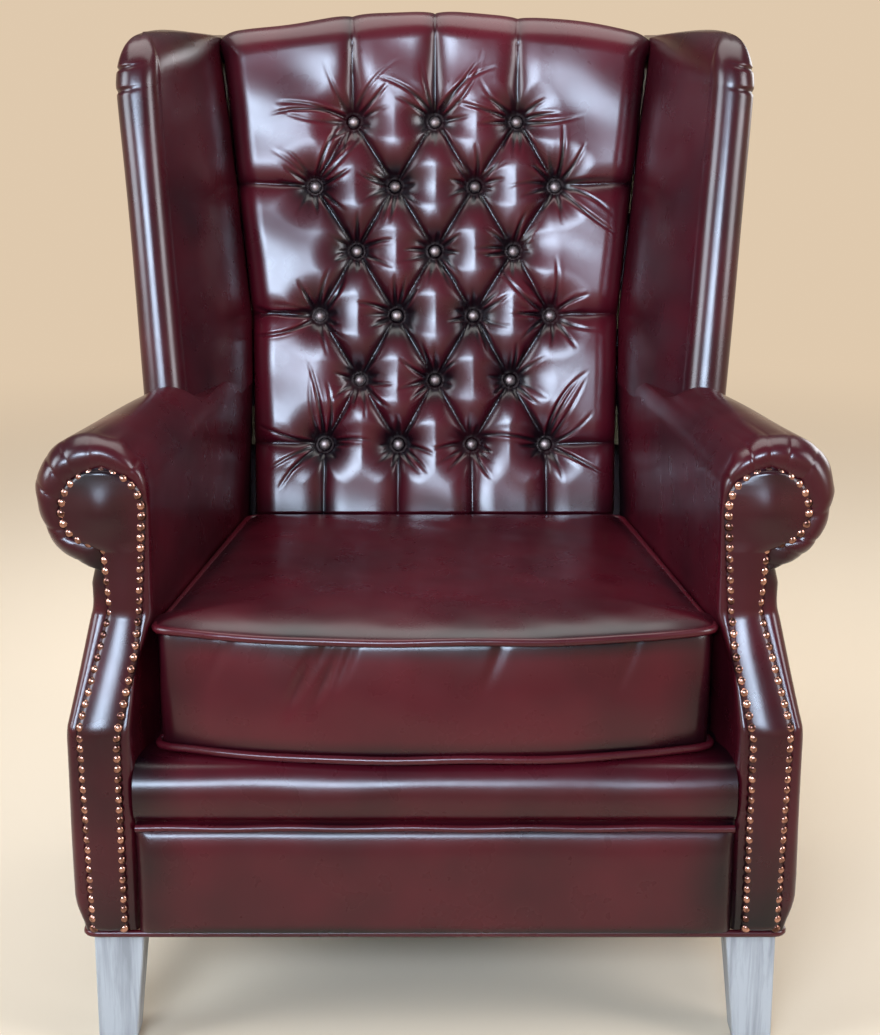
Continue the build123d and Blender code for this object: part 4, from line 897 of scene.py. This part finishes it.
# Arm facings: a board shaped like the arm's front and bent over its fold, covered with hide that
# is turned round its edge, and tacked on along that edge.
def facing_hide(side):
    """Lays the hide of one facing, a from its inner to its outer edge, b upwards."""
    left_line = (
        (0.141, 0.3250), (0.355, 0.3250), (0.440, 0.3071), (0.588, 0.2961), (0.606, 0.2985),
        (0.617, 0.3055), (0.627, 0.3185), (0.635, 0.3400),
    )
    right_line = (
        (0.141, 0.3680), (0.368, 0.3731), (0.480, 0.3435), (0.545, 0.3475), (0.5485, 0.3560),
        (0.556, 0.3745), (0.570, 0.3870), (0.588, 0.3900), (0.606, 0.3877), (0.617, 0.3807),
        (0.627, 0.3677), (0.635, 0.3462),
    )
    top, edge_round, edge_wide, dome = 0.635, 0.0040, 0.006, 0.0075

    def lay(a, b):
        z = np.interp(b, [0, 0.62, 0.80, 0.90, 1], [hem + 0.0002, 0.520, 0.562, 0.600, top])
        left, right = (np.interp(z, *zip(*line)) for line in (left_line, right_line))
        x = left + a * (right - left)
        near_side = np.minimum(a, 1 - a) * (right - left)
        near = np.minimum(near_side, np.minimum(top - z, z - hem + 0.0005) + 0.0005)
        rim = np.clip(near / edge_wide, 0, 1)
        fold = edge_round * (1 - np.sqrt(1 - (1 - rim) ** 2))
        head = np.exp(-(((x - 0.343) / 0.024) ** 2) - ((z - 0.590) / 0.026) ** 2)
        head = head + 0.85 * np.sin(math.pi * a) ** 0.75
        swell = 0.0007 * ripple(x * 20, z * 9 + side, 2.0) * rim
        set_back = (bend(z - 0.004) + bend(z) + bend(z + 0.004)) / 3
        y = front_y + set_back + fold - dome * head * rim - swell * 0.4 + 0.0006
        return np.stack([side * x, y, z], 1)

    return lay


for side, hand in ((1, "right"), (-1, "left")):
    facing = skin(f"{hand}_facing_hide", 30, 220, facing_hide(side), wear_and_shade_level=0.5)
    dress(facing, oxblood, "leather_oxblood", "chair", f"{hand}_arm_facing")


# Antiqued brass nails: one close row round each facing, driven through the hide's turned edge,
# with low domed heads that touch or nearly touch.
nail_pitch, nail_radius, nail_rise, facing_inner = 0.0114, 0.0055, 0.0044, 0.29577


def metal(name, colour, rough, tarnished=None):
    """Bare or plated metal, with darker patches where it has tarnished."""
    plate, tree, shader = new_material(name)
    base = (*colour, 1)
    if tarnished:
        base = ramp(tree, cloud(tree, 90, 3), (0.38, tarnished), (0.6, colour))
    feed(tree, shader, {"Metallic": 1, "Roughness": rough, "Base Color": base})
    return plate


def arc(start, through, end, count):
    """Points from start to end on the circle through three places."""
    first, middle, last = (complex(*place) for place in (start, through, end))
    w = (last - first) / (middle - first)
    centre = first + (middle - first) * (w - abs(w) ** 2) / (2j * w.imag)
    sweep = cmath.phase((last - centre) / (first - centre)) % math.tau
    if cmath.phase((middle - centre) / (first - centre)) % math.tau > sweep:
        sweep -= math.tau
    turns = [cmath.rect(1, sweep * n / count) for n in range(1, count + 1)]
    places = [centre + (first - centre) * turn for turn in turns]
    return [(place.real, place.imag) for place in places]


def on_front(thick_share, tall_share):
    """A place on the arm's front, by shares of its thickness and of its height over the hem."""
    return facing_inner + arm_thick * thick_share, hem + (arm_top - hem) * tall_share


up_shares = ((0.425, 0.008), (0.425, 0.413), (0.208, 0.574), (0.076, 0.854))
arc_shares = (
    ((0.22, 0.909), (0.57, 0.932)),
    ((0.92, 0.909), (1.064, 0.854)),
    ((0.92, 0.802), (0.56, 0.79)),
)
down_shares = ((0.5, 0.65), (0.859, 0.4375), (0.8, 0.008))
row_line = [on_front(*share) for share in up_shares]
for through, end in arc_shares:
    row_line += arc(row_line[-1], on_front(*through), on_front(*end), 24)
row_line = np.array(row_line + [on_front(*share) for share in down_shares])
row_steps = np.concatenate([[0], np.cumsum(np.hypot(*np.diff(row_line, axis=0).T))])
nail_total = round(row_steps[-1] / nail_pitch)
brass = metal("antique_nail", (0.52, 0.27, 0.20), 0.26, (0.10, 0.045, 0.035))


def domes(name, spots, radius, rise, rings, around):
    """Equal domed heads, one on each place, each facing its own way."""
    bm = bmesh.new()
    for centre, facing, spin in spots:
        ball = bmesh.ops.create_uvsphere(bm, u_segments=around, v_segments=2 * rings, radius=1)
        low = [v for v in ball["verts"] if v.co.z < -0.001]
        bmesh.ops.delete(bm, geom=low, context="VERTS")
        upper = [v for v in ball["verts"] if v.is_valid]
        turn = Vector(facing).to_track_quat("Z", "Y").to_matrix().to_4x4()
        place = Matrix.Translation(centre) @ turn @ Matrix.Rotation(spin, 4, "Z")
        sized = place @ Matrix.Diagonal((radius, radius, rise, 1))
        bmesh.ops.transform(bm, matrix=sized, verts=upper)
    rim = [e for e in bm.edges if e.is_boundary]
    bmesh.ops.holes_fill(bm, edges=rim, sides=around)
    bmesh.ops.recalc_face_normals(bm, faces=bm.faces)
    for face in bm.faces:
        face.smooth = len(face.verts) <= 4
    return stand(name, bm)


for side, hand in ((1, "right"), (-1, "left")):
    spots = []
    for n in range(nail_total + 1):
        along = row_steps[-1] * n / nail_total
        x, z = (np.interp(along, row_steps, row_line[:, i]) for i in (0, 1))
        lean = float(bend(z + 0.003) - bend(z - 0.003)) / 0.006
        facing = (0.05 * math.sin(7.3 * n + side), -1, lean + 0.04 * math.sin(3.1 * n))
        spots.append(((side * x, front_y + float(bend(z)) + 0.0006, z), facing, n))
    nails = domes(f"{hand}_nail_heads", spots, nail_radius, nail_rise, 4, 12)
    dress(nails, brass, "antique_nail", "chair", f"{hand}_facing_nails")

# Buttons: domed shells of dull antiqued metal on twine, drawn down between the pillows, each
# leaning its own way a little.
button_radius, button_rise = 0.0074, 0.0056
shell = metal("button_shell", (0.34, 0.26, 0.24), 0.5, (0.18, 0.13, 0.12))
button_spots = []
for n, (u, w) in enumerate(buttons):
    h = -tuft + 0.0005
    y = seat_y + w * math.sin(tilt) - h * math.cos(tilt)
    z = seat_top + w * math.cos(tilt) + h * math.sin(tilt)
    leaning = 0.06 * math.sin(5 * n), 0.07 * math.sin(3 * n + 1)
    facing = (leaning[0], -math.cos(tilt), math.sin(tilt) + leaning[1])
    button_spots.append(((u, y, z), facing, n))
button_heads = domes("button_heads", button_spots, button_radius, button_rise, 5, 20)
dress(button_heads, shell, "button_shell", "chair", "back_buttons")


# Legs, frame, springing and fixings: square tapered legs of limed oak, a beech frame with its
# blocks and screws, jute straps, foam and a zip. Each frame node gets its own finish.
def plain(name, colour, rough, spots=None, scale=60, bump=0.0):
    """A matt material, mottled between two colours."""
    stuff, tree, shader = new_material(name)
    mottle = cloud(tree, scale, 4)
    darker = spots or [c * 0.75 for c in colour]
    tones = ramp(tree, mottle, (0.35, darker), (0.65, colour))
    feed(tree, shader, {"Roughness": rough, "Base Color": tones})
    if bump:
        feed(tree, shader, {"Normal": relief(tree, mottle, bump, 0.001)})
    return stuff


def timber(name, light, dark, rough, stretch, depth=0.25):
    """Wood with its grain drawn out along one axis, and open pores."""
    wood, tree, shader = new_material(name)
    grain = cloud(tree, 9, 8, stretch, Roughness=0.62, Distortion=0.4)
    tones = ramp(tree, grain, (0.36, dark), (0.58, light))
    pores = relief(tree, grain, depth, 0.0008)
    feed(tree, shader, {"Roughness": rough, "Base Color": tones, "Normal": pores})
    return wood


limed = timber("limed_oak", (0.385, 0.395, 0.405), (0.235, 0.24, 0.25), 0.55, (9, 9, 0.7))
beech = timber("beech_frame", (0.62, 0.42, 0.25), (0.46, 0.28, 0.15), 0.6, (6, 1.2, 6), 0.1)
board = plain("fibreboard", (0.32, 0.22, 0.13), 0.8)
zinc = metal("zinc_steel", (0.58, 0.60, 0.62), 0.35, (0.42, 0.43, 0.45))
jute = plain("jute_webbing", (0.45, 0.33, 0.18), 0.95, (0.26, 0.17, 0.09), 240, 0.6)
ticking = plain("platform_cloth", (0.055, 0.012, 0.014), 0.85, None, 400, 0.3)
cambric = plain("black_cambric", (0.020, 0.020, 0.021), 0.95, None, 500, 0.3)
nylon = plain("nylon_glide", (0.06, 0.06, 0.06), 0.4)
foam = plain("foam", (0.72, 0.66, 0.42), 0.95, None, 300, 0.4)
tape = plain("zip_tape", (0.060, 0.014, 0.018), 0.9, None, 500, 0.3)
puller = metal("zip_metal", (0.52, 0.45, 0.33), 0.3)
finishes = {
    limed: ("right_front_leg", "left_front_leg", "right_rear_leg", "left_rear_leg"),
    beech: (
        "front_seat_rail", "rear_seat_rail", "right_seat_rail", "left_seat_rail", "corner_blocks",
        "right_arm_post", "left_arm_post", "right_arm_rail", "left_arm_rail",
        "right_arm_stuff_rail", "left_arm_stuff_rail", "right_back_post", "left_back_post",
        "back_top_rail", "back_stuff_rail", "right_wing_frame", "left_wing_frame",
    ),
    board: ("right_arm_board", "left_arm_board"),
    zinc: ("corner_screws", "leg_plates", "leg_bolts"),
    jute: ("seat_webbing", "back_webbing"),
    nylon: ("leg_glides",),
    foam: ("cushion_core",),
    tape: ("cushion_zip",),
    puller: ("zip_slider",),
}
for finish, names in finishes.items():
    for name in names:
        nodes[name].data.materials.clear()
        nodes[name].data.materials.append(finish)

# Deck under the cushion: dark platform cloth over padding on the webbing, soft along its edges,
# and stitched across behind the lip.
def deck_pad():
    """The padded block, from behind the lip to under the back, as wide as the arms leave it."""
    front_d, back_d, low, thick = 0.0725, 0.4975, 0.254, 0.0722
    edge_round, seam_d, seam_deep, seam_wide = 0.014, 0.105, 0.004, 0.006
    bm = bmesh.new()
    bmesh.ops.create_cube(bm, size=1)
    bmesh.ops.subdivide_edges(bm, edges=bm.edges[:], cuts=24, use_grid_fill=True)
    for vert in bm.verts:
        a, b, c = vert.co + Vector((0.5, 0.5, 0.5))
        d = front_d + (back_d - front_d) * b
        near_edge = min(min(a, 1 - a) * 0.6, min(b, 1 - b) * 0.42)
        rim = 1 - min(near_edge / 0.022, 1)
        fall = edge_round * (1 - math.sqrt(1 - rim**2))
        fall += seam_deep * math.exp(-(((d - seam_d) / seam_wide) ** 2))
        half = arm_outer(d) - arm_thick - 0.0015
        top = low + thick * c - (fall if c > 0.5 else 0)
        vert.co = ((2 * a - 1) * half, front_y + d, top)
    for face in bm.faces:
        face.smooth = True
    bmesh.ops.recalc_face_normals(bm, faces=bm.faces)
    return stand("deck_pad", bm)


deck = deck_pad()
dress(deck, ticking, "platform_cloth", "chair", "seat_platform")


# Dust cover: one piece of black cambric, turned under and tacked flat to the bottom of the rails
# all round, and cut out round the legs.
def dust_sheet():
    """The sheet, as wide in front and behind as the rails, with a notch at each leg."""
    near, far, front_wide, rear_wide, under, cloth = 0.024, 0.6152, 0.361, 0.278, 0.1294, 0.0004
    front_notch, rear_notch = (0.3107, 0.0593), (0.2442, 0.5814)
    bm = bmesh.new()
    bmesh.ops.create_grid(bm, x_segments=48, y_segments=40, size=0.5)
    for vert in bm.verts:
        a, b = vert.co.x + 0.5, vert.co.y + 0.5
        vert.co.x = (2 * a - 1) * (front_wide + (rear_wide - front_wide) * b)
        vert.co.y = near + (far - near) * b
    notches = [front_notch[0], rear_notch[0]]
    cuts = [((side * x, 0, 0), (1, 0, 0)) for x in notches for side in (-1, 1)]
    cuts += [((0, d, 0), (0, 1, 0)) for d in (front_notch[1], rear_notch[1])]
    for place, across in cuts:
        geom = bm.verts[:] + bm.edges[:] + bm.faces[:]
        bmesh.ops.bisect_plane(bm, geom=geom, plane_co=place, plane_no=across)

    def at_leg(face):
        x, d = abs(face.calc_center_median().x), face.calc_center_median().y
        in_front = x > front_notch[0] and d < front_notch[1]
        return in_front or (x > rear_notch[0] and d > rear_notch[1])

    bmesh.ops.delete(bm, geom=[face for face in bm.faces if at_leg(face)], context="FACES")
    for vert in bm.verts:
        x, d = vert.co.x, vert.co.y
        vert.co = (x, front_y + d, under + 0.0003 * math.sin(x * 31 + 3 * math.sin(d * 17)))
    bmesh.ops.solidify(bm, geom=bm.faces[:], thickness=cloth)
    bmesh.ops.recalc_face_normals(bm, faces=bm.faces)
    for face in bm.faces:
        face.smooth = True
    return stand("dust_sheet", bm)


under_cloth = dust_sheet()
dress(under_cloth, cambric, "black_cambric", "chair", "dust_cover")
